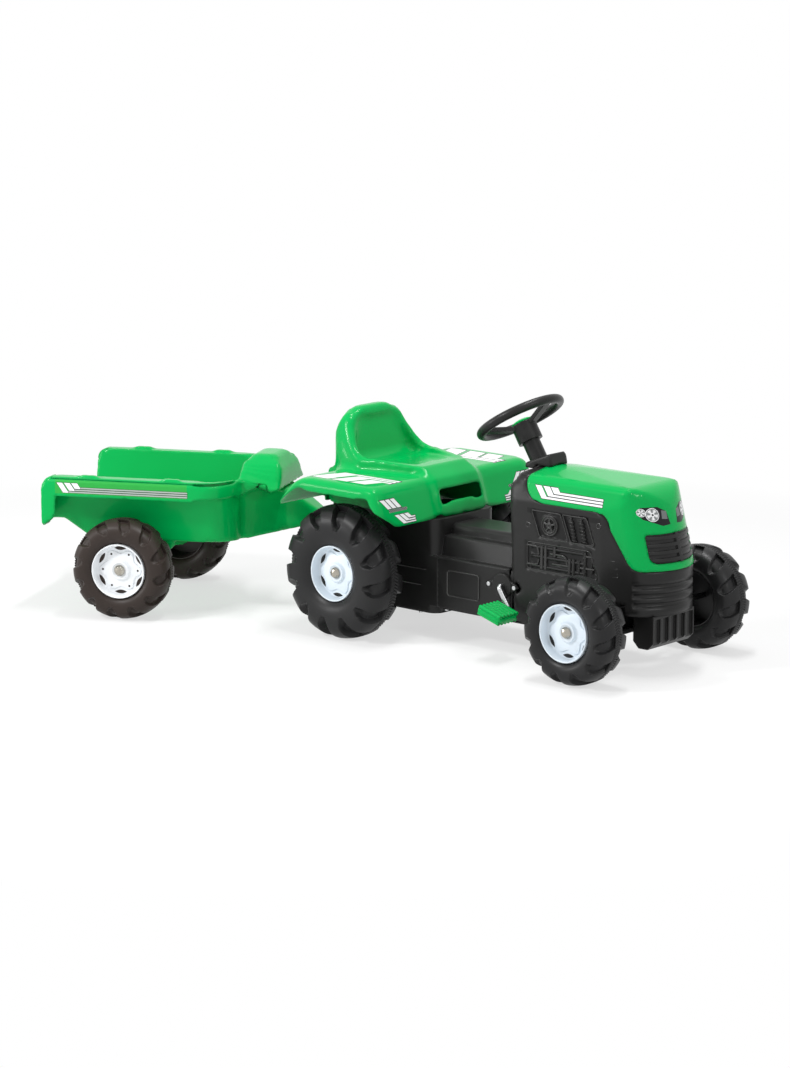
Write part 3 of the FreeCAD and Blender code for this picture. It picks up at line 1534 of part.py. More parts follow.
def bearing_screw_places():
    """Screws of both crank bearings, each with the direction out of the flank."""
    places = []
    for side in (1, -1):
        out = Vector(0, side, 0)
        for step in (-d.screw_spacing / 2, d.screw_spacing / 2):
            face = d.body_half_width + d.bearing_thickness - d.screw_head_height / 2
            places.append((CRANK_PLACE + Vector(step, 0, 0) + out * face, out))
    return places


def make_bearings():
    """Oval flanged bearings for the crank, one in each flank."""
    body = new_body("CrankBearing")
    plate = new_sketch(body, "BearingPlate", "XZ_Plane")
    sketch_circle(plate, "0", "0", "bearing_flange_radius")
    feature(body, "Pad", "BearingDisc", plate, "bearing_thickness")
    ears = new_sketch(body, "BearingEars", "XZ_Plane")
    reach = "(screw_spacing / 2 + screw_head_radius)"
    sketch_outline(
        ears,
        [
            (f"-1 * {reach}", "-1 * screw_head_radius"),
            ("0", "-1 * bearing_flange_radius * bearing_ear_share"),
            (reach, "-1 * screw_head_radius"),
            (f"{reach} + screw_head_radius", "0"),
            (reach, "screw_head_radius"),
            ("0", "bearing_flange_radius * bearing_ear_share"),
            (f"-1 * {reach}", "screw_head_radius"),
            (f"-1 * {reach} - screw_head_radius", "0"),
        ],
    )
    feature(body, "Pad", "BearingWings", ears, "bearing_thickness - screw_head_height / 2")
    spigot = new_sketch(body, "BearingSpigot", "XZ_Plane")
    sketch_circle(spigot, "0", "0", "bearing_spigot_radius")
    feature(body, "Pad", "BearingNose", spigot, "2 * bearing_thickness", reverse=True)
    holes = new_sketch(body, "BearingHoles", "XZ_Plane")
    sketch_circle(holes, "0", "0", "crank_rod_radius + running_gap")
    for sign in (1, -1):
        sketch_circle(holes, f"{sign} * screw_spacing / 2", "0", "screw_radius + running_gap")
    body.Tip = feature(body, "Pocket", "BearingBores", holes, "6 * bearing_thickness", symmetric=True)
    for side_name, turn, side in (("left", 180, 1), ("right", 0, -1)):
        spot = CRANK_PLACE + Vector(0, side * d.body_half_width, 0)
        copy_of(f"crank_bearing_{side_name}", body, Placement(spot, Rotation(Vector(0, 0, 1), turn)))


def hitch_screw_places():
    """Screws of the tow hitch's foot, each with the direction out of the chassis."""
    out = Vector(-1, 0, 0)
    foot_x = d.box_rear_x - d.hitch_thickness
    low = d.hitch_height - d.hitch_thickness
    side = d.hitch_half_width - 2 * d.screw_head_radius
    return [(Vector(foot_x, s * side, low), out) for s in (1, -1)]


def screw(spot, out, grip):
    """A pan-head screw with its head's seat at spot and its shank grip long."""
    head = Part.makeCylinder(d.screw_head_radius, d.screw_head_height, spot, out)
    return head.fuse(rod(d.screw_radius, spot, spot - out * grip))


def make_screws():
    """Fasteners, grouped by what they hold."""
    up = Vector(0, 0, 1)
    bite = d.screw_length - d.screw_head_height
    bearing = [screw(spot, out, bite) for spot, out in bearing_screw_places()]
    seat = [screw(spot, up, bite) for spot in seat_screw_places()]
    cover = [screw(Vector(x, y, z - d.cover_thickness), -up, bite) for x, y, z in boss_places()]
    flange = up * d.yoke_thickness
    beam = [screw(spot - flange, -up, d.yoke_thickness + bite) for spot in beam_screw_places()]
    hitch = [screw(spot, out, d.hitch_thickness + bite) for spot, out in hitch_screw_places()]
    solid_node("bearing_screws", Part.makeCompound(bearing))
    solid_node("seat_screws", Part.makeCompound(seat))
    solid_node("cover_screws", Part.makeCompound(cover))
    solid_node("axle_beam_screws", Part.makeCompound(beam))
    solid_node("hitch_screws", Part.makeCompound(hitch))


def pitch_radius(teeth):
    return d.chain_pitch / (2 * math.sin(math.pi / teeth))


def make_sprocket(label, teeth_alias, shaft, first_gap):
    """A sprocket on its hub; its first gap points along first_gap."""
    body = new_body(label)
    pitch = f"(chain_pitch / (2 * sin(180 / {teeth_alias})))"
    disc = new_sketch(body, f"{label}Disc", "XZ_Plane")
    sketch_circle(disc, "0", "0", f"{pitch} + roller_radius * tooth_height_share")
    feature(body, "Pad", f"{label}Plate", disc, "sprocket_thickness", symmetric=True)
    hub = new_sketch(body, f"{label}HubRing", "XZ_Plane")
    sketch_circle(hub, "0", "0", "sprocket_hub_radius")
    feature(body, "Pad", f"{label}Hub", hub, "sprocket_hub_length", symmetric=True)
    bore = new_sketch(body, f"{label}BoreRing", "XZ_Plane")
    sketch_circle(bore, "0", "0", f"{shaft} + running_gap")
    feature(body, "Pocket", f"{label}Bore", bore, "2 * sprocket_hub_length", symmetric=True)
    gap = new_sketch(body, f"{label}GapRing", "XZ_Plane")
    sketch_circle(gap, f"{first_gap} * {pitch}", "0", "roller_radius + roller_room")
    cut = feature(body, "Pocket", f"{label}Gap", gap, "2 * sprocket_thickness", symmetric=True)
    polar(body, f"{label}Teeth", cut, "Y_Axis", teeth_alias)
    return body


def chain_points():
    """Roller centres: in the tooth gaps round both sprockets and evenly along both runs."""
    big = pitch_radius(d.crank_teeth)
    small = pitch_radius(d.axle_teeth)
    lean = math.asin((big - small) / d.crank_x)
    front_step = 2 * math.pi / d.crank_teeth
    rear_step = 2 * math.pi / d.axle_teeth
    front_count = round((math.pi / 2 + lean) / front_step)
    rear_count = round((math.pi / 2 - lean) / rear_step)
    rear_middle = Vector(0, d.chain_y, REAR_AXLE_HEIGHT)
    front_middle = rear_middle + Vector(d.crank_x, 0, 0)
    front = [
        front_middle + Vector(math.cos(k * front_step), 0, math.sin(k * front_step)) * big
        for k in range(-front_count, front_count + 1)
    ]
    rear = [
        rear_middle - Vector(math.cos(k * rear_step), 0, math.sin(k * rear_step)) * small
        for k in range(-rear_count, rear_count + 1)
    ]
    points = []
    for arc, following in ((front, rear), (rear, front)):
        points += arc
        run = following[0] - arc[-1]
        count = round(run.Length / d.chain_pitch)
        points += [arc[-1] + run * (k / count) for k in range(1, count)]
    return points


def chain_band(grow, low_y):
    """The filled loop of the chain's plates, grown from the pitch line."""
    lean = math.asin((pitch_radius(d.crank_teeth) - pitch_radius(d.axle_teeth)) / d.crank_x)
    small = pitch_radius(d.axle_teeth) + grow
    big = pitch_radius(d.crank_teeth) + grow
    rear = Vector(0, low_y, REAR_AXLE_HEIGHT)
    front = rear + Vector(d.crank_x, 0, 0)
    up = Vector(-math.sin(lean), 0, math.cos(lean))
    down = Vector(up.x, 0, -up.z)
    ahead = Vector(1, 0, 0)
    edges = [
        Part.Arc(rear + down * small, rear - ahead * small, rear + up * small).toShape(),
        Part.LineSegment(rear + up * small, front + up * big).toShape(),
        Part.Arc(front + up * big, front + ahead * big, front + down * big).toShape(),
        Part.LineSegment(front + down * big, rear + down * small).toShape(),
    ]
    return Part.Face(Part.Wire(edges)).extrude(Vector(0, d.link_plate, 0))


def make_chain():
    """The roller chain: two plate bands and a roller pin at every link."""
    along = Vector(0, 1, 0)
    half = d.link_inner_width / 2 + d.link_plate
    pins = [rod(d.roller_radius, spot - along * half, spot + along * half) for spot in chain_points()]
    bands = []
    for low_y in (d.chain_y - half, d.chain_y + half - d.link_plate):
        outer = chain_band(d.link_half_height, low_y)
        bands.append(outer.cut(chain_band(-d.link_half_height, low_y)))
    solid_node("drive_chain", bands[0].multiFuse([bands[1]] + pins))


def make_drive():
    """Rear axle in long bushes, both sprockets and the chain."""
    half = stub_length(d.wheel_middle_y)
    along = Rotation(Vector(1, 0, 0), -90)
    middle = Vector(0, 0, REAR_AXLE_HEIGHT)
    axle = primitive("Cylinder", "RearAxle", Radius="axle_radius")
    axle.Height = 2 * half
    node("rear_axle", axle, Placement(middle - Vector(0, half, 0), along))
    bushes = []
    for side in (1, -1):
        out = Vector(0, side, 0)
        inner = middle + out * (d.body_half_width - 3 * d.body_wall)
        face = middle + out * d.body_half_width
        sleeve = rod(d.bush_radius, inner, middle + out * hub_back(d.wheel_middle_y, d.rear_tyre_width))
        flange = rod(d.bush_flange_radius, face, face + out * d.body_wall)
        bore = rod(d.axle_radius + d.running_gap, middle, middle + out * half)
        bushes.append(sleeve.fuse(flange).cut(bore))
    solid_node("rear_axle_bushes", Part.makeCompound(bushes))
    chain_line = Vector(0, d.chain_y, 0)
    crank_sprocket = make_sprocket("CrankSprocket", "crank_teeth", "crank_rod_radius", 1)
    node("crank_sprocket", crank_sprocket, Placement(CRANK_PLACE + chain_line, Rotation()))
    axle_sprocket = make_sprocket("AxleSprocket", "axle_teeth", "axle_radius", -1)
    node("axle_sprocket", axle_sprocket, Placement(middle + chain_line, Rotation()))
    make_chain()


# Tow hitch and trailer, drawn with u forward from the hitch pin, v to the left and z up


def trailer_place():
    return Placement(Vector(d.hitch_x, 0, 0), Rotation(Vector(0, 0, 1), d.trailer_yaw))


def make_hitch():
    """The bracket on the tractor's back and the drop pin through it."""
    top = d.hitch_height + d.hitch_thickness
    half = d.hitch_half_width
    plan = [(d.box_rear_x, half, 0), (d.hitch_x - half, half, d.hitch_round)]
    plate = plan_prism(mirrored_plan(plan), d.hitch_height, top)
    foot_low = d.hitch_height - 2 * d.hitch_thickness
    foot = block(d.box_rear_x - d.hitch_thickness, d.box_rear_x, -half, half, foot_low, top)
    pin_low = Vector(d.hitch_x, 0, d.hitch_height)
    pin_top = Vector(d.hitch_x, 0, top + d.eye_thickness + 2 * d.seat_gap)
    bracket = plate.fuse(foot).cut(rod(d.hitch_pin_radius + d.running_gap, pin_low, pin_top))
    for spot, out in hitch_screw_places():
        bracket = bracket.cut(rod(d.screw_radius + d.running_gap, spot, spot - out * d.hitch_thickness))
    solid_node("tow_hitch", bracket)
    head = Part.makeCylinder(d.hitch_pin_head_radius, d.hitch_thickness / 2, pin_top)
    solid_node("hitch_pin", rod(d.hitch_pin_radius, pin_low, pin_top).fuse(head))


def drawbar_solid(offset):
    """The gooseneck drawbar from the eye to the tub's front."""
    eye_low = d.hitch_height + d.hitch_thickness + d.seat_gap
    eye_high = eye_low + d.eye_thickness
    tub_front = d.tub_front_u - d.tub_wall
    side = side_prism(
        [
            (tub_front, d.tub_floor, 0),
            (tub_front, d.rail_top - d.rail_round, 0),
            (d.neck_u, d.drawbar_top, d.tub_corner_radius),
            (-2 * d.eye_radius, eye_high, d.eye_radius),
            (d.eye_radius + d.overrun, eye_high, 0),
            (d.eye_radius + d.overrun, eye_low, 0),
            (-2 * d.eye_radius, eye_low, d.eye_radius),
            (d.neck_u, d.hitch_height - d.hitch_thickness, d.tub_corner_radius),
            (d.drawbar_foot_u, d.tub_floor, d.eye_radius),
        ],
        -d.tub_top_half_width,
        d.tub_top_half_width,
        offset,
    )
    plan = mirrored_plan(
        [
            (tub_front, 2 * d.drawbar_half_width, 0),
            (d.neck_u, d.drawbar_half_width, d.tub_corner_radius),
            (-2 * d.eye_radius, d.eye_radius, d.eye_radius),
            (d.eye_radius, d.eye_radius, d.eye_round),
        ]
    )
    return side.common(plan_prism(plan, 0, d.board_top, offset))


def tub_loft(inset, low, high):
    """The tub's tapered body between two heights."""
    faces = []
    for height in (low, high):
        share = (height - d.tub_floor) / (d.rail_top - d.tub_floor)
        half = d.tub_floor_half_width + (d.tub_top_half_width - d.tub_floor_half_width) * share - inset
        corners = mirrored_plan(
            [
                (d.tub_rear_u - 2 * d.overrun, half, 0),
                (d.tub_front_u - inset, half, d.tub_corner_radius),
            ]
        )
        flat = rounded_face(corners, lambda p: Vector(p.x, p.y, 0)).OuterWire
        faces.append(flat.translated(Vector(0, 0, height)))
    return Part.makeLoft(faces, True, True)


def make_trailer():
    """The tipping-style trailer tub with its rolled rails, headboard, drawbar and axle carriers."""
    wall = d.tub_wall
    over = d.overrun
    floor_side = [
        (d.tub_rear_u, d.board_top, 0),
        (d.tub_front_u + over, d.board_top, 0),
        (d.tub_front_u + over, d.tub_floor, 0),
        (d.tub_floor_rear_u, d.tub_floor, 0),
        (d.tub_rear_u + d.post_length, d.tub_rear_floor, 0),
        (d.tub_rear_u, d.tub_rear_floor, 0),
    ]
    room_side = [
        (d.tub_rear_u - 2 * over, d.board_top + over, 0),
        (d.tub_front_u + over, d.board_top + over, 0),
        (d.tub_front_u + over, d.tub_floor + wall, 0),
        (d.tub_floor_rear_u, d.tub_floor + wall, 0),
        (d.tub_rear_u + d.post_length, d.tub_rear_floor + wall, 0),
        (d.tub_rear_u - 2 * over, d.tub_rear_floor + wall, 0),
    ]
    wide = d.rail_half_width + over
    outer = tub_loft(0, d.tub_floor, d.rail_top).common(side_prism(floor_side, -wide, wide))
    room = tub_loft(wall, d.tub_floor, d.board_top + over).common(side_prism(room_side, -wide, wide))
    rail_plan = mirrored_plan(
        [
            (d.tub_rear_u, d.rail_half_width, 0),
            (d.tub_front_u + wall, d.rail_half_width, d.tub_corner_radius + d.rail_round),
        ]
    )
    rail = plan_prism(rail_plan, d.rail_bottom, d.rail_top)
    rims = [
        edge
        for edge in rail.Edges
        if edge.BoundBox.ZMin > d.rail_top - d.running_gap and edge.BoundBox.XMax > d.tub_rear_u + wall
    ]
    rail = rail.makeFillet(d.rail_round, rims)
    under = plan_prism(rail_plan, 0, d.rail_top - wall, -wall)
    tub = outer.fuse(rail.cut(under))
    posts = []
    post_top = d.rail_top - d.rail_round
    for side in (1, -1):
        low_y, high_y = sorted((side * (d.rail_half_width - wall), side * d.rail_half_width))
        post_front = d.tub_rear_u + d.post_length
        post_side = [
            (d.tub_rear_u, d.post_bottom, 0),
            (post_front, d.post_bottom + d.post_rise, 0),
            (post_front, post_top, 0),
            (d.tub_rear_u, post_top, 0),
        ]
        posts.append(side_prism(post_side, low_y, high_y))
        low_y, high_y = sorted((side * (d.tub_floor_half_width + wall), side * d.rail_half_width))
        posts.append(block(d.tub_rear_u, d.tub_rear_u + wall, low_y, high_y, d.post_bottom, post_top))
        low_y = side * (d.rail_half_width + d.tub_top_half_width) / 2 - d.nub_width / 2
        for share in NUB_SHARES:
            low_u = d.tub_rear_u + (d.tub_front_u - d.tub_rear_u) * share - d.nub_length / 2
            nub_top = d.rail_top + d.nub_height
            high_u = low_u + d.nub_length
            posts.append(block(low_u, high_u, low_y, low_y + d.nub_width, d.rail_top - wall, nub_top))
    board_rear = d.tub_front_u + d.board_lean
    board_front = board_rear + d.board_top_length
    board_side = [
        (d.tub_front_u - d.board_thickness, d.rail_top - wall, 0),
        (board_rear, d.board_top, d.board_round),
        (board_front, d.board_top, d.board_round),
        (board_front + d.board_brow, d.board_top - d.board_thickness, d.board_round / 2),
        (board_front + d.board_brow, d.rail_top, 0),
        (d.tub_front_u, d.rail_bottom, 0),
    ]
    board_outline = mirrored(
        [
            (d.board_half_width, d.rail_bottom, 0),
            (d.board_half_width, d.board_top, d.tub_corner_radius),
        ]
    )
    board = side_prism(board_side, -d.board_half_width, d.board_half_width)
    board = board.common(section_prism(board_outline, d.tub_rear_u, 0))
    tub = tub.multiFuse(posts + [board])
    tub = tub.cut(room)
    end_u = d.tub_rear_u + d.rail_end_radius
    end_z = d.rail_top - d.rail_end_radius
    end = block(d.tub_rear_u - over, end_u, -wide, wide, end_z, d.rail_top + over)
    tub = tub.cut(end.cut(rod(d.rail_end_radius, Vector(end_u, -wide, end_z), Vector(end_u, wide, end_z))))
    bar = drawbar_solid(0)
    bar_room = block(d.tub_rear_u, -3 * d.eye_radius, -wide, wide, 0, d.board_top)
    hollow = drawbar_solid(-wall).common(bar_room)
    bar = bar.cut(tub_loft(wall / 2, d.tub_floor, d.board_top)).cut(hollow)
    step = d.axle_block_half_length
    carrier_side = [
        (d.trailer_axle_u - 4 * step, d.tub_floor + wall / 2, 0),
        (d.trailer_axle_u - 4 * step, d.tub_floor - 4 * wall, wall),
        (d.trailer_axle_u - step, d.axle_block_bottom, wall * 2),
        (d.trailer_axle_u + step, d.axle_block_bottom, wall * 2),
        (d.trailer_axle_u + 4 * step, d.tub_floor - 4 * wall, wall),
        (d.trailer_axle_u + 4 * step, d.tub_floor + wall / 2, 0),
    ]
    adds = [bar]
    inner = d.tub_floor_half_width - 5 * wall
    for side in (1, -1):
        low_y, high_y = sorted((side * inner, side * (d.tub_floor_half_width - wall)))
        adds.append(side_prism(carrier_side, low_y, high_y))
        start = Vector(d.trailer_axle_u, side * inner, FRONT_AXLE_HEIGHT)
        end_y = side * hub_back(d.trailer_wheel_v, d.front_tyre_width)
        adds.append(rod(d.bush_radius, start, Vector(start.x, end_y, start.z)))
    tub = tub.multiFuse(adds)
    half = stub_length(d.trailer_wheel_v)
    left = Vector(d.trailer_axle_u, half, FRONT_AXLE_HEIGHT)
    right = Vector(d.trailer_axle_u, -half, FRONT_AXLE_HEIGHT)
    tub = tub.cut(rod(d.axle_radius + d.running_gap, right, left))
    tub = tub.cut(Part.makeCylinder(d.hitch_pin_radius + d.running_gap, d.board_top, Vector()))
    solid_node("trailer_tub", tub, trailer_place())
    axle = primitive("Cylinder", "TrailerAxle", Radius="axle_radius")
    axle.Height = 2 * half
    node("trailer_axle", axle, trailer_place() * Placement(right, Rotation(Vector(1, 0, 0), -90)))


def finish():
    """Moves the origin to the middle of the footprint, checks every piece and writes it."""
    doc.recompute()
    whole = FreeCAD.BoundBox()
    for item in nodes:
        whole.add(item.Shape.BoundBox)
    shift = Vector(-whole.Center.x, -whole.Center.y, -whole.ZMin)
    for item in nodes:
        item.Placement = Placement(shift, Rotation()) * item.Placement
    doc.recompute()
    for item in doc.Objects:
        if {"Invalid", "Error"} & set(item.State):
            raise RuntimeError(f"{item.Label} failed: {item.State}")
    for item in nodes:
        if item.Shape.isNull() or not item.Shape.isValid() or not item.Shape.Solids:
            raise RuntimeError(f"{item.Label} has no sound solid")
    os.makedirs("parts", exist_ok=True)
    for item in nodes:
        item.Shape.exportStep(f"parts/{item.Label}.step")
        print(item.Label, len(item.Shape.Solids), f"{item.Shape.Volume / 1000:.1f} cm3")
    print("origin shift", shift.x, shift.y, shift.z)
    print("overall", whole.XLength, whole.YLength, whole.ZLength)
    return shift


core = front_body(CORE_INSET)
make_wheels()
make_bonnet()
make_weight()
make_chassis(core)
make_covers()
make_seat()
make_cowl(front_body(d.bonnet_proud + d.seat_gap))
make_column()
make_steering_wheel()
make_shaft()
make_knuckles()
make_axle_beam()
make_cross_link()
make_crank()
make_pedals()
make_bearings()
make_screws()
make_drive()
make_hitch()
make_trailer()
SHIFT = finish()
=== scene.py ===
import json
import math

import bmesh
import bpy
from mathutils import Matrix, Vector


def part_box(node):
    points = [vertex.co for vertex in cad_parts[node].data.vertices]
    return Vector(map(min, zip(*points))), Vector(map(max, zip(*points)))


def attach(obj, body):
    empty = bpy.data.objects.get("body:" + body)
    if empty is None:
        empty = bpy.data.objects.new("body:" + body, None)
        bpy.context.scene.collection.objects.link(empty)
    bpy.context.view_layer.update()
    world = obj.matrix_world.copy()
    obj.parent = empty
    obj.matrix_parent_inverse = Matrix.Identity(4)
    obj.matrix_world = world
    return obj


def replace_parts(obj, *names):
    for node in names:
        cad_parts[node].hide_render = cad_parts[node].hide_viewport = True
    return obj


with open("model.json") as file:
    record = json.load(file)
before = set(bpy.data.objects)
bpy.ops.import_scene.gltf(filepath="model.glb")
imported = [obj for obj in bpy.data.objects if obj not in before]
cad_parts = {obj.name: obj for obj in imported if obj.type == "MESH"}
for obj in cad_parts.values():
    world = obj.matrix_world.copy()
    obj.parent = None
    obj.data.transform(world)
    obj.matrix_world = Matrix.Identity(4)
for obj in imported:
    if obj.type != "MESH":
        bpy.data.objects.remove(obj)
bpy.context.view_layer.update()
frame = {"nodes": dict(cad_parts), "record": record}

# Lengths are in metres. The part's origin is the middle of its footprint; the tractor's rear axle
# stands over REAR_AXLE, and the trailer turns about HITCH by TRAILER_YAW. Places named "along" and
# "across" count from the rear axle and the tractor's middle plane, on the trailer from the hitch.
REAR_AXLE = Vector((0.05629, 0.10846, 0.0))
HITCH = REAR_AXLE + Vector((-0.183, 0.0, 0.0))
TRAILER_YAW = math.radians(27)
WHEEL_MIDDLE = 0.214
TRAILER_WHEEL_MIDDLE = 0.212

# Colours
GREEN = (0.0, 0.405, 0.085)
GREEN_DEEP = (0.0, 0.360, 0.070)
COAL = (0.012, 0.012, 0.012)
# The next two colours: a worn tone that the coal drifts into at random, and together a painted sheen that makes
# the engine's relief lighter than the housing.
COAL_WORN_AND_SHEEN = (0.018, 0.018, 0.0175)
COAL_PAINTED_SHEEN = (0.032, 0.032, 0.031)
# Painted shade for the engine flanks' recesses.
COAL_PAINTED_SHADE = (0.006, 0.006, 0.006)
TYRE = (0.011, 0.011, 0.0115)
TYRE_DUST = (0.018, 0.018, 0.0185)
TRAILER_TYRE = (0.024, 0.017, 0.014)
TRAILER_TYRE_DUST = (0.036, 0.026, 0.022)
RIM_BLUISH = (0.74, 0.81, 0.87)
RIM_BLUISH_SHADE = (0.66, 0.74, 0.81)
RIM_WHITE = (0.84, 0.86, 0.88)
RIM_WHITE_SHADE = (0.78, 0.81, 0.84)
CAP_METAL = (0.46, 0.43, 0.37)
STEEL = (0.62, 0.63, 0.64)
CHAIN_STEEL = (0.20, 0.19, 0.18)
STICKER_WHITE = (0.86, 0.87, 0.87)
STICKER_INK = (0.016, 0.016, 0.018)
STICKER_GREY = (0.40, 0.46, 0.42)
STICKER_FILM = (0.03, 0.37, 0.06)
LAMP_BRIGHT = (0.86, 0.87, 0.88)
LAMP_SHADE = (0.17, 0.18, 0.18)
STUDIO_PALE = (0.86, 0.86, 0.86)
STUDIO_WHITE = (1.0, 1.0, 1.0)

COAL_SHINE = 0.22

# Stripes: slanted bars as (low, high, foot) below a common top, and level lines from the bars' feet.
BONNET_STRIPE = {
    "lean": 0.86, "top": 0.3705, "end": 0.607, "width": 0.0042,
    "bars": [(0.4265, 0.4425, 0.3453), (0.448, 0.465, 0.3515), (0.4678, 0.4866, 0.3577)],
}
MUDGUARD_TOP_STRIPE = {
    "lean": 0.355, "top": 0.231, "end": 0.11, "width": 0.0095,
    "bars": [(-0.077, -0.033, 0.155), (-0.020, 0.023, 0.168), (0.032, 0.075, 0.182)],
}
MUDGUARD_UPPER_STRIPE = {
    "lean": 0.92, "top": 0.321,
    "bars": [(-0.249, -0.2365, 0.301), (-0.2335, -0.221, 0.301), (-0.218, -0.2055, 0.301)],
}
MUDGUARD_LOWER_STRIPE = {
    "lean": 1.15, "top": 0.2865, "end": -0.151, "width": 0.0027,
    "bars": [(-0.214, -0.2015, 0.2665), (-0.1985, -0.1865, 0.2712), (-0.1835, -0.171, 0.2759)],
}
RAIL_STRIPE = {
    "lean": 0.68, "top": 0.2963, "end": -0.309, "width": 0.003,
    "bars": [(-0.612, -0.599, 0.2745), (-0.5945, -0.581, 0.2793), (-0.578, -0.564, 0.2841)],
}

# Where the stickers lie.
BONNET_SIDE = 0.083
BONNET_STRIPE_HEIGHTS = (0.335, 0.38)
MUDGUARD_TOP_FROM = 0.3425
MUDGUARD_ACROSS_FROM = 0.14
MUDGUARD_FRONT_FROM = 0.118
MUDGUARD_FRONT_BELOW = 0.335
HATCH_BAND_MIDDLE = (0.199, 0.296)
HATCH_BAND_HALF = (0.029, 0.0032)
HATCH_PER_METRE = 190.0
HATCH_GAP_SHARE = 0.62
RAIL_SIDE = 0.2035
RAIL_FILM_ALONG = (-0.616, -0.310)
RAIL_FILM_HEIGHTS = (0.272, 0.303)

# Printed lamps on the bonnet's front: case outline, reflectors (across, height, radius) and corner glass.
LAMP_CASE = [
    (0.0108, 0.3133), (0.032, 0.3119), (0.0694, 0.3269), (0.0803, 0.3415),
    (0.0704, 0.351), (0.0372, 0.3506), (0.0168, 0.3403),
]
LAMPS = [(0.0706, 0.3408, 0.0082), (0.0499, 0.3354, 0.0138)]
LAMP_WEDGE = [(0.0165, 0.3243), (0.031, 0.3261), (0.029, 0.3430), (0.0165, 0.3405)]
LAMP_FRONT_FROM = 0.65
LAMP_HEIGHTS = (0.29, 0.36)
LAMP_FACETS = 5.0
LAMP_FACET_SHARES = (0.3, 0.8)
LAMP_RING_SHARES = (0.82, 0.9)
LAMP_BULB_SHARE = 0.16
LAMP_METAL_SHARE = 0.45

# Rims: outline of the dish as (out from the tyre's middle, radius), star plate, slots and bolt holes.
RIM_DISH = [
    (0.0385, 0.0606), (0.0405, 0.0606), (0.0412, 0.0592), (0.0402, 0.0575), (0.0225, 0.0548), (0.0205, 0.0530),
    (0.0205, 0.0300), (0.0215, 0.0245), (0.0250, 0.0215), (0.0285, 0.0195), (0.0290, 0.0170), (0.0275, 0.0150),
    (0.0265, 0.0050), (0.0160, 0.0050), (0.0160, 0.0540), (-0.0320, 0.0580), (-0.0320, 0.0606),
]
RIM_STEPS = 96
RIM_SLOTS = 6
RIM_SLOT_RADIUS = 0.0490
RIM_SLOT_HALF = (0.0138, 0.0042)
RIM_SLOT_TOP = 0.0212
STAR_RADIUS = 0.0425
STAR_WAVE = 0.0055
STAR_FOOT = 0.0195
STAR_TOP = 0.0228
STAR_EDGE = 0.0009
BOLT_RADIUS = 0.0405
BOLT_HALF = (0.0024, 0.0024)
BOLT_TOP = 0.0232
PLATE_FOOT = 0.0198
PLATE_EDGE = 0.0002
PLATE_SIDES = 20
WHITE_FROM = 0.0183

# Engine flank: pipes, clamps and frames as (along, height) points.
FLANK = 0.0985
FLANK_TAPER = 0.0745
FLANK_TAPER_FROM = 0.607
# The flanks' recesses, which get painted shade: across, along and heights.
RECESS_ACROSS = (0.0945, 0.0984)
RECESS_ALONG = (0.411, 0.604)
RECESS_HEIGHTS = (0.188, 0.322)
FAN = (0.4705, 0.290)
FAN_RINGS = ((0.0205, 0.0018), (0.0155, 0.0018), (0.004, 0.004))
FAN_SPOKES = 5
FAN_SPOKE_ENDS = (0.005, 0.0145)
FAN_SPOKE_RADIUS = 0.0026
ENGINE_PIPES = [
    [(0.414, 0.243), (0.440, 0.243), (0.444, 0.226)],
    [(0.414, 0.203), (0.440, 0.203), (0.444, 0.216)],
    [(0.474, 0.231), (0.515, 0.231), (0.519, 0.213)],
    [(0.480, 0.210), (0.528, 0.211)],
    [(0.560, 0.228), (0.564, 0.239), (0.642, 0.237)],
    [(0.552, 0.212), (0.590, 0.213)],
    [(0.588, 0.221), (0.649, 0.222)],
    [(0.595, 0.203), (0.651, 0.204), (0.648, 0.213)],
]
PIPE_RADIUS = 0.0023
ENGINE_CLAMPS = [
    (0.452, 0.197, 0.245, 0.0046), (0.462, 0.197, 0.245, 0.0046), (0.526, 0.195, 0.228, 0.0046),
    (0.536, 0.195, 0.228, 0.0046), (0.551, 0.200, 0.226, 0.0038), (0.566, 0.196, 0.246, 0.0038),
    (0.486, 0.226, 0.248, 0.004), (0.584, 0.203, 0.240, 0.003),
]
PANEL_FRAMES = [
    [(0.46, 0.318), (0.424, 0.318), (0.446, 0.262), (0.522, 0.262), (0.500, 0.318), (0.459, 0.318)],
    [(0.53, 0.318), (0.506, 0.318), (0.528, 0.262), (0.590, 0.262), (0.568, 0.318), (0.529, 0.318)],
    [(0.50, 0.250), (0.413, 0.250), (0.413, 0.192), (0.601, 0.192), (0.579, 0.250), (0.499, 0.250)],
]
PANEL_FRAME_RADIUS = 0.0014
HATCH_FRAMES = [
    [(0.238, 0.102), (0.195, 0.102), (0.195, 0.157), (0.282, 0.157), (0.282, 0.102), (0.236, 0.102)],
    [(0.05, 0.150), (0.135, 0.150)],
    [(0.05, 0.115), (0.120, 0.115)],
]
HATCH_FRAME_RADIUS = 0.0019
SPRINGS = [((0.5369, 0.266), (0.5268, 0.311)), ((0.5634, 0.266), (0.5533, 0.311))]
SPRING_PITCH = 0.0075
SPRING_RADIUS = 0.0056
SPRING_WIRE = 0.0015
SPRING_SIDES = 12
FLANK_SCREWS = [(0.414, 0.285), (0.600, 0.306)]
FLANK_SCREW_RADIUS = 0.0052
FLANK_SCREW_WIRE = 0.0014

# Rounded rear end of the trailer's rails: middle (along, height), radius, width and thickness.
RAIL_END = (-0.626, 0.284)
RAIL_END_RADIUS = 0.0238
RAIL_ACROSS = (0.1735, 0.2062)
RAIL_OUTER = 0.208
RAIL_EDGE_ROUND = 0.012
RAIL_SKIN = 0.003

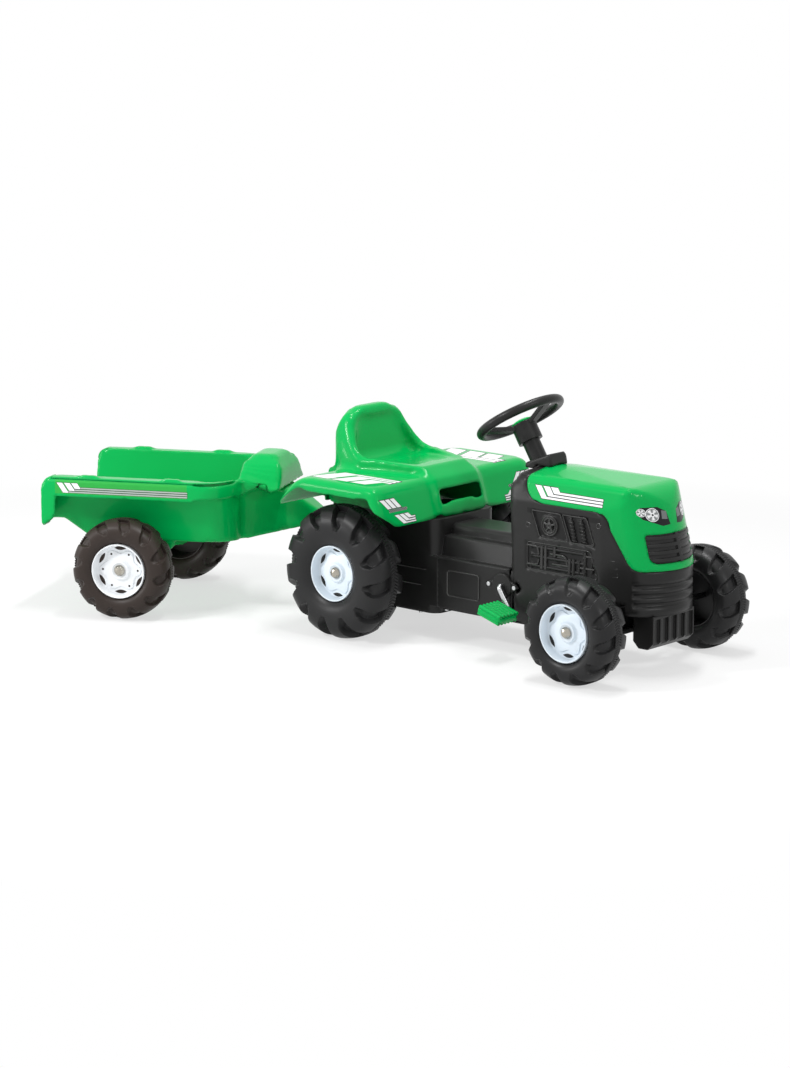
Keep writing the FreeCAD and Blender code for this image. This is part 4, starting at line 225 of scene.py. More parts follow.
# Tyres: bead radius, wall outline in shares of half width and height, crown points and lugs.
BEAD = 0.0611
FRONT_HALF = 0.0445
REAR_HALF = 0.0495
TYRE_WALL = [(0.74, 0.0), (0.80, 0.03), (0.88, 0.09), (0.945, 0.18), (0.978, 0.26), (0.993, 0.34)]
TYRE_CROWN = [
    1.0, 0.998, 0.992, 0.982, 0.965, 0.94, 0.905, 0.86, 0.8, 0.73,
    0.64, 0.54, 0.44, 0.34, 0.26, 0.215, 0.2, 0.1, 0.0,
]
CROWN_ROOT = 0.42
CROWN_POWER = 2.6
TYRE_STEPS = 384
LUG_COUNT = 12
LUG_SLANT = 0.35
LUG_DEPTH = 0.16
POCKET_HALF = 0.25
POCKET_START = 0.42
POCKET_BOW = 0.26
POCKET_RISE = 0.13
POCKET_EDGE = 0.72
KNURL_SHARE = 0.2
KNURL_STEP = 3
KNURL_DEPTH = 0.0018

# Pedals, in shares of the CAD pedal's half sizes.
PEDAL_SIDES = 64
PEDAL_SQUARENESS = 0.35
PEDAL_WAVE_DEPTH = 0.2
PEDAL_WAVES = 3.0
PEDAL_PLATE = 0.4
PEDAL_EDGE = 0.0022
PEDAL_RIBS = 6
PEDAL_RIB_SPREAD = 2.9
PEDAL_RIB_ENDS = (-0.76, 0.9)
PEDAL_RIB_HEIGHT = 0.6
PEDAL_RIB_RADIUS = 0.34
PEDAL_WIDER = 1.06
PEDAL_OUT = 0.0015
PEDAL_TILT = 0.3

# Seat's handle slot and trailer's headboard: where and how far the eased shells are drawn in.
HANDLE_MIDDLE = 0.308
HANDLE_FRONT_FROM = 0.09
HANDLE_SIDE = 0.1
HANDLE_HALF_WIDTH = 0.066
HANDLE_KEEP = 0.72
HANDLE_END_TAPER = 0.16
HANDLE_FOOT_SPREAD = 0.3
HEADBOARD_FROM = -0.27
HEADBOARD_ABOVE = 0.3
HEADBOARD_TAPER = 0.32
HEADBOARD_BROW_DROP = 0.03

SPLIT_ROUNDS = 9
TINY_EDGE = 0.00005
SAME_SPOT = 0.00001

# Studio: lamps as (name, place, aim, size, watts) and the photograph's camera.
STUDIO_LAMPS = [
    ("key_lamp", (-1.0, -2.7, 2.5), (0.0, 0.0, 0.25), (0.55, 0.4), 62.0),
    ("top_lamp", (0.4, 0.2, 3.0), (0.1, 0.0, 0.2), (1.5, 0.25), 55.0),
    ("front_lamp", (3.2, -0.4, 1.9), (0.4, 0.1, 0.25), (0.5, 0.4), 15.0),
    ("side_lamp", (-2.1, -2.3, 0.8), (0.1, -0.1, 0.2), (0.7, 0.7), 24.0),
]
CAMERA_SPOT = REAR_AXLE + Vector((4.5894, -5.2623, 1.6141))
CAMERA_AIM = REAR_AXLE + Vector((0.0661, -0.1239, 0.2221))
CAMERA_LENS = 109.2
CAMERA_SENSOR = 36.0
CAMERA_REACH = 100.0
FLOOR_HALF = 60.0
WORLD_LIGHT = 0.5


class Wire:
    """A node's output that sums, products and comparisons can join to others."""

    def __init__(self, finish, socket):
        self.finish = finish
        self.socket = socket

    def math(self, operation, *others):
        values = [self, *others]
        return self.finish.node("ShaderNodeMath", {"operation": operation}, dict(enumerate(values)))

    def __add__(self, other):
        return self.math("ADD", other)

    __radd__ = __add__

    def __sub__(self, other):
        return self.math("SUBTRACT", other)

    def __rsub__(self, other):
        return (self * -1) + other

    def __mul__(self, other):
        return self.math("MULTIPLY", other)

    __rmul__ = __mul__

    def __gt__(self, other):
        return self.math("GREATER_THAN", other)

    def __lt__(self, other):
        return self.math("LESS_THAN", other)

    def within(self, low, high):
        """1 where the value lies between two limits."""
        return (self > low) * (self < high)

    def either(self, other):
        return self.math("MAXIMUM", other)

    def least(self, other):
        return self.math("MINIMUM", other)

    def size(self):
        return self.math("ABSOLUTE")


class Finish:
    """A material whose nodes are added one by one."""

    def __init__(self, name):
        self.material = bpy.data.materials.new(name)
        self.material.use_nodes = True
        self.tree = self.material.node_tree
        self.tree.nodes.clear()
        self.shader = self.tree.nodes.new("ShaderNodeBsdfPrincipled")
        self.out = self.tree.nodes.new("ShaderNodeOutputMaterial")
        self.tree.links.new(self.shader.outputs["BSDF"], self.out.inputs["Surface"])

    def node(self, kind, settings=None, sockets=None, output=0):
        item = self.tree.nodes.new(kind)
        for name, value in (settings or {}).items():
            setattr(item, name, value)
        for name, value in (sockets or {}).items():
            self.feed(item.inputs[name], value)
        return Wire(self, item.outputs[output])

    def feed(self, socket, value):
        if isinstance(value, Wire):
            self.tree.links.new(value.socket, socket)
        elif isinstance(value, tuple) and len(value) == 3 and socket.type == "RGBA":
            socket.default_value = (*value, 1.0)
        else:
            socket.default_value = value

    def set(self, **sockets):
        for name, value in sockets.items():
            self.feed(self.shader.inputs[name.replace("_", " ")], value)

    def place(self):
        """The surface's spot in the part's own frame, whole and as X, Y and Z."""
        spot = self.node("ShaderNodeTexCoord", output="Object")
        parts = self.node("ShaderNodeSeparateXYZ", sockets={0: spot})
        node = parts.socket.node
        return spot, [Wire(self, node.outputs[k]) for k in range(3)]

    def noise(self, spot, scale, detail=2.0):
        settings = {"Vector": spot, "Scale": scale, "Detail": detail}
        return self.node("ShaderNodeTexNoise", sockets=settings, output="Fac")

    def blend(self, share, first, second):
        """A colour between two."""
        sockets = {"Factor": share, 6: first, 7: second}
        return self.node("ShaderNodeMix", {"data_type": "RGBA"}, sockets, output=2)

    def soft_edges(self, radius, grain, strength, distance=0.0005):
        """Rounds edges to a moulding's radius and adds a fine grain over them."""
        normal = self.node("ShaderNodeBevel", {"samples": 6}, {"Radius": radius})
        sockets = {"Height": grain, "Strength": strength, "Distance": distance, "Normal": normal}
        self.set(Normal=self.node("ShaderNodeBump", sockets=sockets))


def moulded(name, colour, shade, roughness, spread, radius, grain_scale=700.0, strength=0.12):
    """Moulded plastic: a colour with slow drift, a satin grain and rounded edges."""
    finish = Finish(name)
    spot, finish.axes = finish.place()
    drift = finish.noise(spot, 9.0)
    finish.colour = finish.blend(drift, colour, shade)
    finish.set(Base_Color=finish.colour, Roughness=drift * spread + roughness)
    finish.soft_edges(radius, finish.noise(spot, grain_scale), strength)
    return finish


def green_plastic(name, radius):
    """Glossy green plastic under a thin clear surface."""
    finish = moulded(name, GREEN, GREEN_DEEP, 0.2, 0.06, radius, 420.0, 0.03)
    finish.set(Specular_IOR_Level=0.08, Coat_Weight=0.3, Coat_Roughness=0.05, Coat_IOR=1.26)
    return finish


def metal(name, colour, roughness, grain_scale):
    """Bright metal with fine drawing marks."""
    finish = Finish(name)
    spot, _ = finish.place()
    grain = finish.noise(spot, grain_scale, 4.0)
    dull = tuple(value * 0.8 for value in colour)
    finish.set(Base_Color=finish.blend(grain, colour, dull), Metallic=1.0)
    finish.set(Roughness=grain * 0.15 + roughness)
    finish.soft_edges(0.0006, grain, 0.08)
    return finish


def stripe_bars(along, up, stripe):
    """Distance outside a stripe's slanted bars; negative inside."""
    top = stripe["top"]
    slid = along - (top - up) * stripe["lean"]
    nearest = None
    for low, high, foot in stripe["bars"]:
        across = (slid - (low + high) / 2).size() - (high - low) / 2
        bar = across.either((up - (top + foot) / 2).size() - (top - foot) / 2)
        nearest = bar if nearest is None else nearest.least(bar)
    return nearest


def stripe_lines(along, up, stripe):
    """Distance outside the level lines that run from the bars' feet to a common end."""
    slid = along - (stripe["top"] - up) * stripe["lean"]
    half = stripe["width"] / 2
    nearest = None
    for low, _, foot in stripe["bars"]:
        ends = (low - slid).either(along - stripe["end"])
        line = ends.either((up - (foot + half)).size() - half)
        nearest = line if nearest is None else nearest.least(line)
    return nearest


def whole_stripe(along, up, stripe):
    """Distance outside a stripe's bars and lines."""
    return stripe_bars(along, up, stripe).least(stripe_lines(along, up, stripe))


def stick(finish, where, distance, margin, ink=STICKER_INK, paper=STICKER_WHITE):
    """A cut sticker: paper colour inside the outline and an ink edge round it."""
    finish.colour = finish.blend((distance < margin) * where, finish.colour, ink)
    finish.colour = finish.blend((distance < 0.0) * where, finish.colour, paper)
    finish.set(Base_Color=finish.colour)


def outline(across, up, corners):
    """Distance outside a closed outline whose corners go round to the left."""
    furthest = None
    for (a, b), (c, d) in zip(corners, corners[1:] + corners[:1]):
        length = math.hypot(c - a, d - b)
        side = (across - a) * ((d - b) / length) - (up - b) * ((c - a) / length)
        furthest = side if furthest is None else furthest.either(side)
    return furthest


def bonnet_green():
    """The bonnet's green, with a stripe along each side and printed lamps in front."""
    finish = green_plastic("bonnet_green", 0.006)
    x, y, z = finish.axes
    along = x - REAR_AXLE.x
    across = from_middle(x, y)
    side = (across > BONNET_SIDE) * z.within(*BONNET_STRIPE_HEIGHTS)
    stick(finish, side, whole_stripe(along, z, BONNET_STRIPE), 0.0013)
    front = (along > LAMP_FRONT_FROM) * z.within(*LAMP_HEIGHTS)
    stick(finish, front, outline(across, z, LAMP_CASE), 0.0, STICKER_INK, STICKER_INK)
    bright = None
    for middle, height, radius in LAMPS:
        far = ((across - middle) * (across - middle) + (z - height) * (z - height)).math("SQRT")
        turn = (z - height).math("ARCTAN2", across - middle)
        facet = (turn * LAMP_FACETS).math("SINE") * 0.5 + 0.5
        facet = facet * far.within(*(radius * share for share in LAMP_FACET_SHARES))
        shade = finish.blend(facet, LAMP_BRIGHT, LAMP_SHADE)
        disc = (far < radius) * front
        ring = far.within(*(radius * share for share in LAMP_RING_SHARES))
        shade = finish.blend(ring.either(far < radius * LAMP_BULB_SHARE), shade, STICKER_INK)
        finish.colour = finish.blend(disc, finish.colour, shade)
        bright = disc if bright is None else bright.either(disc)
    wedge = (outline(across, z, LAMP_WEDGE) < 0.0) * front
    finish.colour = finish.blend(wedge, finish.colour, LAMP_SHADE)
    finish.set(Base_Color=finish.colour, Metallic=bright * LAMP_METAL_SHARE)
    return finish


def seat_green():
    """The seat moulding's green, with stripes on top of and in front of both mudguards."""
    finish = green_plastic("seat_green", 0.009)
    x, y, z = finish.axes
    along = x - REAR_AXLE.x
    across = from_middle(x, y)
    top = (z > MUDGUARD_TOP_FROM) * (across > MUDGUARD_ACROSS_FROM)
    stick(finish, top, whole_stripe(along, across, MUDGUARD_TOP_STRIPE), 0.003)
    front = (along > MUDGUARD_FRONT_FROM) * (z < MUDGUARD_FRONT_BELOW)
    inward = across * -1.0
    stick(finish, front, stripe_bars(inward, z, MUDGUARD_UPPER_STRIPE), 0.0014)
    band = (inward + HATCH_BAND_MIDDLE[0]).size() - HATCH_BAND_HALF[0]
    band = band.either((z - HATCH_BAND_MIDDLE[1]).size() - HATCH_BAND_HALF[1])
    hatch = ((inward + z) * HATCH_PER_METRE).math("FRACT") > HATCH_GAP_SHARE
    paper = finish.blend(hatch, STICKER_INK, STICKER_GREY)
    stick(finish, front, band, 0.0, STICKER_INK, paper)
    stick(finish, front, whole_stripe(inward, z, MUDGUARD_LOWER_STRIPE), 0.0012)
    return finish


def trailer_green():
    """The trailer's green, with a stripe along both rails."""
    finish = green_plastic("trailer_green", 0.006)
    x, y, z = finish.axes
    along = (x - HITCH.x) * math.cos(TRAILER_YAW) + (y - HITCH.y) * math.sin(TRAILER_YAW)
    rail = from_trailer_middle(x, y) > RAIL_SIDE
    film = along.within(*RAIL_FILM_ALONG) * z.within(*RAIL_FILM_HEIGHTS) * rail
    finish.colour = finish.blend(film, finish.colour, STICKER_FILM)
    stick(finish, rail, stripe_lines(along, z, RAIL_STRIPE), 0.0008, STICKER_INK, STICKER_GREY)
    stick(finish, rail, stripe_bars(along, z, RAIL_STRIPE), 0.001)
    return finish


def coal_plastic(name, colour, shade, roughness, spread, radius):
    """Dark satin plastic."""
    finish = moulded(name, colour, shade, roughness, spread, radius)
    finish.set(Specular_IOR_Level=COAL_SHINE)
    return finish


def housing_coal():
    """The engine housing's dark plastic, with painted shade darkening the flanks' recesses."""
    finish = coal_plastic("housing_satin", COAL, COAL_WORN_AND_SHEEN, 0.28, 0.12, 0.003)
    x, y, z = finish.axes
    # Painted shade: the recess floors are drawn darker than the rest of the housing.
    painted_shade = from_middle(x, y).within(*RECESS_ACROSS)
    painted_shade = painted_shade * (x - REAR_AXLE.x).within(*RECESS_ALONG) * z.within(*RECESS_HEIGHTS)
    finish.set(Base_Color=finish.blend(painted_shade, finish.colour, COAL_PAINTED_SHADE))
    return finish


def rim_plastic(name, colour, shade, dark, across, limit):
    """A rim's pale face; what lies nearer the middle than a limit is as dark as the tyre."""
    finish = moulded(name, colour, shade, 0.34, 0.1, 0.002, 900.0, 0.06)
    x, y, _ = finish.axes
    finish.set(Base_Color=finish.blend(across(x, y) < limit, finish.colour, dark))
    return finish


def from_middle(x, y):
    """Distance from the tractor's middle plane."""
    return (y - REAR_AXLE.y).size()


def from_trailer_middle(x, y):
    """Distance from the trailer's middle plane."""
    left = (y - HITCH.y) * math.cos(TRAILER_YAW)
    return (left - (x - HITCH.x) * math.sin(TRAILER_YAW)).size()


tractor_rim = rim_plastic(
    "rim_bluish", RIM_BLUISH, RIM_BLUISH_SHADE, TYRE, from_middle, WHEEL_MIDDLE + WHITE_FROM
)
trailer_rim = rim_plastic(
    "rim_white", RIM_WHITE, RIM_WHITE_SHADE, TRAILER_TYRE, from_trailer_middle, TRAILER_WHEEL_MIDDLE + WHITE_FROM
)
# Painted sheen: the engine's relief is a lighter copy of the housing's coal, standing in for its highlights; it
# is also glossier.
engine_painted_sheen = moulded("engine_painted_sheen", COAL_WORN_AND_SHEEN, COAL_PAINTED_SHEEN, 0.16, 0.08, 0.0006)
steel = metal("bright_steel", STEEL, 0.2, 500.0)

FINISHES = {
    "green_shell": green_plastic("green_gloss", 0.004),
    "dark_shell": coal_plastic("coal_satin", COAL, COAL_WORN_AND_SHEEN, 0.28, 0.12, 0.003),
    "tyre_plastic": coal_plastic("tyre_satin", TYRE, TYRE_DUST, 0.3, 0.14, 0.002),
    "trailer_tyre_plastic": coal_plastic(
        "trailer_tyre_satin", TRAILER_TYRE, TRAILER_TYRE_DUST, 0.36, 0.16, 0.002
    ),
    "white_rim": tractor_rim,
    "bright_cap": metal("cap_metal", CAP_METAL, 0.16, 300.0),
    "bright_steel": steel,
    "zinc_screw": steel,
    "chain_steel": metal("chain_steel", CHAIN_STEEL, 0.35, 500.0),
}
PRINTED = {
    "bonnet": bonnet_green(),
    "seat_shell": seat_green(),
    "trailer_tub": trailer_green(),
    "chassis_shell": housing_coal(),
    "trailer_rim_left": trailer_rim,
    "trailer_rim_right": trailer_rim,
}


def slot_of(node):
    """The node's material slot."""
    return next(row["material_slot"] for row in frame["record"]["subparts"] if row["node"] == node)


def finish_of(node):
    """The node's own finish, or its slot's."""
    return PRINTED.get(node, FINISHES[slot_of(node)])


def dress(item, finish):
    item.data.materials.clear()
    item.data.materials.append(finish.material)


for row in frame["record"]["subparts"]:
    dress(frame["nodes"][row["node"]], finish_of(row["node"]))


def ramp(value, low, high):
    """A smooth rise from 0 at low to 1 at high."""
    share = min(max((value - low) / (high - low), 0.0), 1.0)
    return share * share * (3.0 - 2.0 * share)


def add_piece(bm, name, body, node, finish, sharp=32.0):
    """Makes the finished mesh a piece that rides on a body and wears the given finish."""
    bmesh.ops.recalc_face_normals(bm, faces=bm.faces)
    mesh = bpy.data.meshes.new(name)
    bm.to_mesh(mesh)
    bm.free()
    mesh.shade_smooth()
    mesh.set_sharp_from_angle(angle=math.radians(sharp))
    piece = bpy.data.objects.new(name, mesh)
    bpy.context.scene.collection.objects.link(piece)
    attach(piece, body)
    slot_of(node)
    dress(piece, finish)
    return piece


def spun(bm, points, steps):
    """Spins a closed outline of (along, radius) points about the Y axis."""
    ring = [bm.verts.new((0.0, along, radius)) for along, radius in points]
    edges = [bm.edges.new((a, b)) for a, b in zip(ring, ring[1:] + ring[:1])]
    bmesh.ops.spin(
        bm, geom=ring + edges, axis=(0.0, 1.0, 0.0), cent=(0.0, 0.0, 0.0),
        angle=math.tau, steps=steps, use_merge=True,
    )


def tyre_section(radius, half):
    """The tyre's outline from one bead over the crown to the other, as (across, out) points."""
    height = radius - BEAD
    root = BEAD + height * CROWN_ROOT
    side = [(half * across, BEAD + height * out) for across, out in TYRE_WALL]
    for across in TYRE_CROWN:
        swell = (1.0 - across**CROWN_POWER) ** (1.0 / CROWN_POWER)
        side.append((half * across, root + (radius - root) * swell))
    return side + [(-across, out) for across, out in reversed(side[:-1])]


def pocket(step, across, share):
    """1 deep in the round-ended pocket between two lugs; the two sides' lugs stand half a pitch apart."""
    phase = step * LUG_COUNT / TYRE_STEPS + (0.5 if across < 0.0 else 0.0)
    off = abs(phase - math.floor(phase) - 0.5) / POCKET_HALF
    start = POCKET_START + POCKET_BOW * min(off, 1.0) ** 2
    return (1.0 - ramp(off, POCKET_EDGE, 1.0)) * ramp(share, start, start + POCKET_RISE)


def lug_tyre(node, body, half, yaw):
    """A blow-moulded tyre: round walls, slanted lugs and a knurled band along the crown."""
    low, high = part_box(node)
    radius = (high.z - low.z) / 2
    height = radius - BEAD
    core = BEAD + height * CROWN_ROOT
    bm = bmesh.new()
    spun(bm, tyre_section(radius, half), TYRE_STEPS)
    for vert in bm.verts:
        across = vert.co.y
        out = math.hypot(vert.co.x, vert.co.z)
        angle = math.atan2(vert.co.x, vert.co.z)
        step = round(angle / math.tau * TYRE_STEPS) % TYRE_STEPS
        share = (out - BEAD) / height
        if abs(across) < KNURL_SHARE * half * 1.01:
            if step % KNURL_STEP == 0:
                out -= KNURL_DEPTH
        else:
            depth = height * LUG_DEPTH * pocket(step, across, share)
            reach = math.hypot(across, out - core)
            out = core + (out - core) * (1.0 - depth / reach)
            across *= 1.0 - depth / reach
        angle += LUG_SLANT * math.tau / LUG_COUNT * abs(vert.co.y) / half
        vert.co = (out * math.sin(angle), across, out * math.cos(angle))
    bmesh.ops.remove_doubles(bm, verts=bm.verts, dist=SAME_SPOT)
    place = Matrix.Translation((low + high) / 2) @ Matrix.Rotation(yaw, 4, "Z")
    bmesh.ops.transform(bm, matrix=place, verts=bm.verts)
    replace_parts(add_piece(bm, node + "_moulding", body, node, finish_of(node)), node)


def raise_faces(bm, faces, height, edge):
    """Lifts flat faces into a plate along Y with a soft upper edge."""
    made = bmesh.ops.extrude_face_region(bm, geom=faces)["geom"]
    top = [item for item in made if isinstance(item, bmesh.types.BMVert)]
    bmesh.ops.translate(bm, verts=top, vec=(0.0, height, 0.0))
    rims = [item for item in made if isinstance(item, bmesh.types.BMEdge)]
    bmesh.ops.bevel(bm, geom=rims, offset=edge, segments=2, profile=0.5, affect="EDGES", material=-1)


def upright_disc(bm, sides, radius):
    """A filled circle across the Y axis."""
    lie = Matrix.Rotation(math.pi / 2, 4, "X")
    return bmesh.ops.create_circle(bm, segments=sides, radius=radius, cap_ends=True, matrix=lie)["verts"]


def star_plate(bm):
    """The rim's raised plate with six rounded points."""
    made = upright_disc(bm, RIM_STEPS, STAR_RADIUS)
    for vert in made:
        turn = math.atan2(vert.co.x, vert.co.z)
        radius = STAR_RADIUS - STAR_WAVE * math.cos(RIM_SLOTS * turn)
        vert.co = (radius * math.sin(turn), STAR_FOOT, radius * math.cos(turn))
    raise_faces(bm, made[0].link_faces[:], STAR_TOP - STAR_FOOT, STAR_EDGE)


def rim_mark(bm, turn, radius, half, power, top):
    """A small flat plate on the rim, an ellipse or, with power 2, a lens."""
    made = upright_disc(bm, PLATE_SIDES, 1.0)
    for vert in made:
        across = vert.co.x * half[0]
        up = math.copysign(abs(vert.co.z) ** power, vert.co.z) * half[1] + radius
        x = across * math.cos(turn) + up * math.sin(turn)
        z = up * math.cos(turn) - across * math.sin(turn)
        vert.co = (x, PLATE_FOOT, z)
    raise_faces(bm, made[0].link_faces[:], top - PLATE_FOOT, PLATE_EDGE)


def dished_rim(tyre_node, body, out, yaw):
    """A dished rim with a star plate and lens-shaped slots, on the trailer also with bolt holes."""
    low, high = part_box(tyre_node)
    node = tyre_node.replace("tyre", "rim")
    turned = Matrix.Rotation(yaw, 4, "Z") @ Matrix.Diagonal((1.0, out, 1.0, 1.0))
    place = Matrix.Translation((low + high) / 2) @ turned
    bm = bmesh.new()
    spun(bm, RIM_DISH, RIM_STEPS)
    star_plate(bm)
    bmesh.ops.transform(bm, matrix=place, verts=bm.verts)
    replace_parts(add_piece(bm, node + "_dish", body, node, finish_of(node)), node)
    marks = bmesh.new()
    for k in range(RIM_SLOTS):
        turn = math.tau * k / RIM_SLOTS
        rim_mark(marks, turn, RIM_SLOT_RADIUS, RIM_SLOT_HALF, 2.0, RIM_SLOT_TOP)
        if yaw:
            rim_mark(marks, turn + math.pi / RIM_SLOTS, BOLT_RADIUS, BOLT_HALF, 1.0, BOLT_TOP)
    bmesh.ops.transform(marks, matrix=place, verts=marks.verts)
    add_piece(marks, node + "_slots", body, tyre_node, finish_of(tyre_node))


def soft_moulding(node, body, merge, longest, rounds, shape, soft):
    """A blow-moulded shell: the node's own form cut finely and eased until its edges are round."""
    bm = bmesh.new()
    bm.from_mesh(frame["nodes"][node].data)
    bmesh.ops.remove_doubles(bm, verts=bm.verts, dist=merge)
    bmesh.ops.dissolve_degenerate(bm, edges=bm.edges, dist=TINY_EDGE)
    bmesh.ops.triangulate(bm, faces=bm.faces)
    if shape:
        for vert in bm.verts:
            vert.co = shape(vert.co - REAR_AXLE) + REAR_AXLE
    for _ in range(SPLIT_ROUNDS):
        edges = [edge for edge in bm.edges if edge.calc_length() > longest]
        bmesh.ops.subdivide_edges(bm, edges=edges, cuts=1)
        bmesh.ops.triangulate(bm, faces=bm.faces)
    shares = [(vert, soft(vert.co - REAR_AXLE) if soft else 1.0) for vert in bm.verts]
    for k in range(rounds):
        eased = [vert for vert, share in shares if share * rounds > k]
        bmesh.ops.smooth_vert(
            bm, verts=eased, factor=0.5, use_axis_x=True, use_axis_y=True, use_axis_z=True
        )
    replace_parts(add_piece(bm, node + "_moulding", body, node, finish_of(node), 60.0), node)


def handle_slot(spot):
    """Draws the seat's handle slot in to a low bar with a wider foot."""
    if spot.x < HANDLE_FRONT_FROM or abs(spot.y) > HANDLE_SIDE:
        return spot
    side = abs(spot.y)
    off = spot.z - HANDLE_MIDDLE
    near = 1.0 - ramp(abs(off), 0.022, 0.034)
    keep = HANDLE_KEEP - HANDLE_END_TAPER * min(side / HANDLE_HALF_WIDTH, 1.0) ** 2
    keep = 1.0 - (1.0 - keep) * near * (1.0 - ramp(side, 0.07, 0.09))
    foot = ramp(-off, 0.0, 0.016) * near * (1.0 - ramp(side, 0.056, 0.09))
    return Vector((spot.x, spot.y * (1.0 + HANDLE_FOOT_SPREAD * foot), HANDLE_MIDDLE + off * keep))


def headboard_hump(spot):
    """Draws the trailer's headboard in towards its top, as a hump."""
    ahead = spot.x + REAR_AXLE.x - HITCH.x
    along = ahead * math.cos(TRAILER_YAW) + spot.y * math.sin(TRAILER_YAW)
    across = spot.y * math.cos(TRAILER_YAW) - ahead * math.sin(TRAILER_YAW)
    if along < HEADBOARD_FROM or spot.z < HEADBOARD_ABOVE:
        return spot
    across *= 1.0 - HEADBOARD_TAPER * ramp(spot.z, 0.304, 0.345)
    brow = ramp(along, -0.2, -0.15) * (1.0 - ramp(spot.z, 0.312, 0.335))
    ahead = along * math.cos(TRAILER_YAW) - across * math.sin(TRAILER_YAW)
    left = along * math.sin(TRAILER_YAW) + across * math.cos(TRAILER_YAW)
    return Vector((ahead + HITCH.x - REAR_AXLE.x, left, spot.z - HEADBOARD_BROW_DROP * brow))


def backrest_most(spot):
    """Eases the seat's backrest for all rounds, the rest of the seat for fewer."""
    return 0.38 + 0.62 * ramp(spot.z, 0.40, 0.44)


def bonnet_crown(spot):
    return spot.z > 0.305 and spot.x > 0.43


def cowl_top(spot):
    return spot.z > 0.394


def housing_rear(spot):
    return spot.x < 0.398


def tunnel_length(spot):
    return 0.172 < spot.x < 0.361


# Eased shells: node, body, merge distance, longest edge, rounds, change of shape and eased share.
SHELLS = [
    ("seat_shell", "chassis", 0.0022, 0.0085, 36, handle_slot, backrest_most),
    ("trailer_tub", "trailer", 0.0009, 0.009, 6, headboard_hump, None),
    ("bonnet", "chassis", 0.0012, 0.0075, 9, None, bonnet_crown),
    ("steering_cowl", "chassis", 0.0009, 0.004, 8, None, cowl_top),
    ("chassis_shell", "chassis", 0.0005, 0.012, 8, None, housing_rear),
    ("knee_tunnel", "chassis", 0.0009, 0.008, 10, None, tunnel_length),
]
for row in SHELLS:
    soft_moulding(*row)


def flank_spot(side, x, z, lift=0.0):
    """A place on the engine housing's flank."""
    out = FLANK + lift - FLANK_TAPER * max(x - FLANK_TAPER_FROM, 0.0)
    return REAR_AXLE + Vector((x, side * out, z))


def eased_line(points, share=0.35):
    """A line of points with its corners rounded."""
    line = [points[0]]
    for before, corner, after in zip(points, points[1:], points[2:]):
        start = corner.lerp(before, share)
        end = corner.lerp(after, share)
        for k in range(5):
            t = k / 4
            line.append(start.lerp(corner, t).lerp(corner.lerp(end, t), t))
    return line + [points[-1]]


def bar(bm, points, radius, sides=8):
    """A round bar along a line of points."""
    rings = []
    for k, spot in enumerate(points):
        heading = points[min(k + 1, len(points) - 1)] - points[max(k - 1, 0)]
        turn = heading.to_track_quat("Z", "Y").to_matrix().to_4x4()
        made = bmesh.ops.create_circle(
            bm, segments=sides, radius=radius, cap_ends=k in (0, len(points) - 1),
            matrix=Matrix.Translation(spot) @ turn,
        )
        rings.append(list(dict.fromkeys(edge for vert in made["verts"] for edge in vert.link_edges)))
    for first, second in zip(rings, rings[1:]):
        bmesh.ops.bridge_loops(bm, edges=first + second)


def round_points(middle, first, second, radius, count=24):
    """Points round a circle that two directions span."""
    turns = [math.tau * k / count for k in range(count + 1)]
    return [middle + first * (radius * math.cos(t)) + second * (radius * math.sin(t)) for t in turns]


def rail_end(side, name):
    """The rounded skin that closes the rear end of one of the trailer's rails."""
    bm = bmesh.new()
    bmesh.ops.create_grid(bm, x_segments=10, y_segments=1, size=1.0)
    along, height = RAIL_END
    inner, outer = RAIL_ACROSS
    for vert in bm.verts:
        across = inner + (outer - inner) * (vert.co.x + 1.0) / 2
        past = max(across - RAIL_OUTER + RAIL_EDGE_ROUND, 0.0)
        drop = RAIL_EDGE_ROUND - math.sqrt(RAIL_EDGE_ROUND**2 - past**2)
        radius = RAIL_END_RADIUS - drop - RAIL_SKIN * (vert.co.y + 1.0) / 2
        vert.co = (along - radius, side * across, height)
    bmesh.ops.spin(
        bm, geom=bm.verts[:] + bm.edges[:] + bm.faces[:], axis=(0.0, 1.0, 0.0), cent=(along, 0.0, height),
        angle=math.pi / 2, steps=16,
    )
    place = Matrix.Translation(HITCH) @ Matrix.Rotation(TRAILER_YAW, 4, "Z")
    bmesh.ops.transform(bm, matrix=place, verts=bm.verts)
    add_piece(bm, name, "trailer", "trailer_tub", finish_of("trailer_tub"))


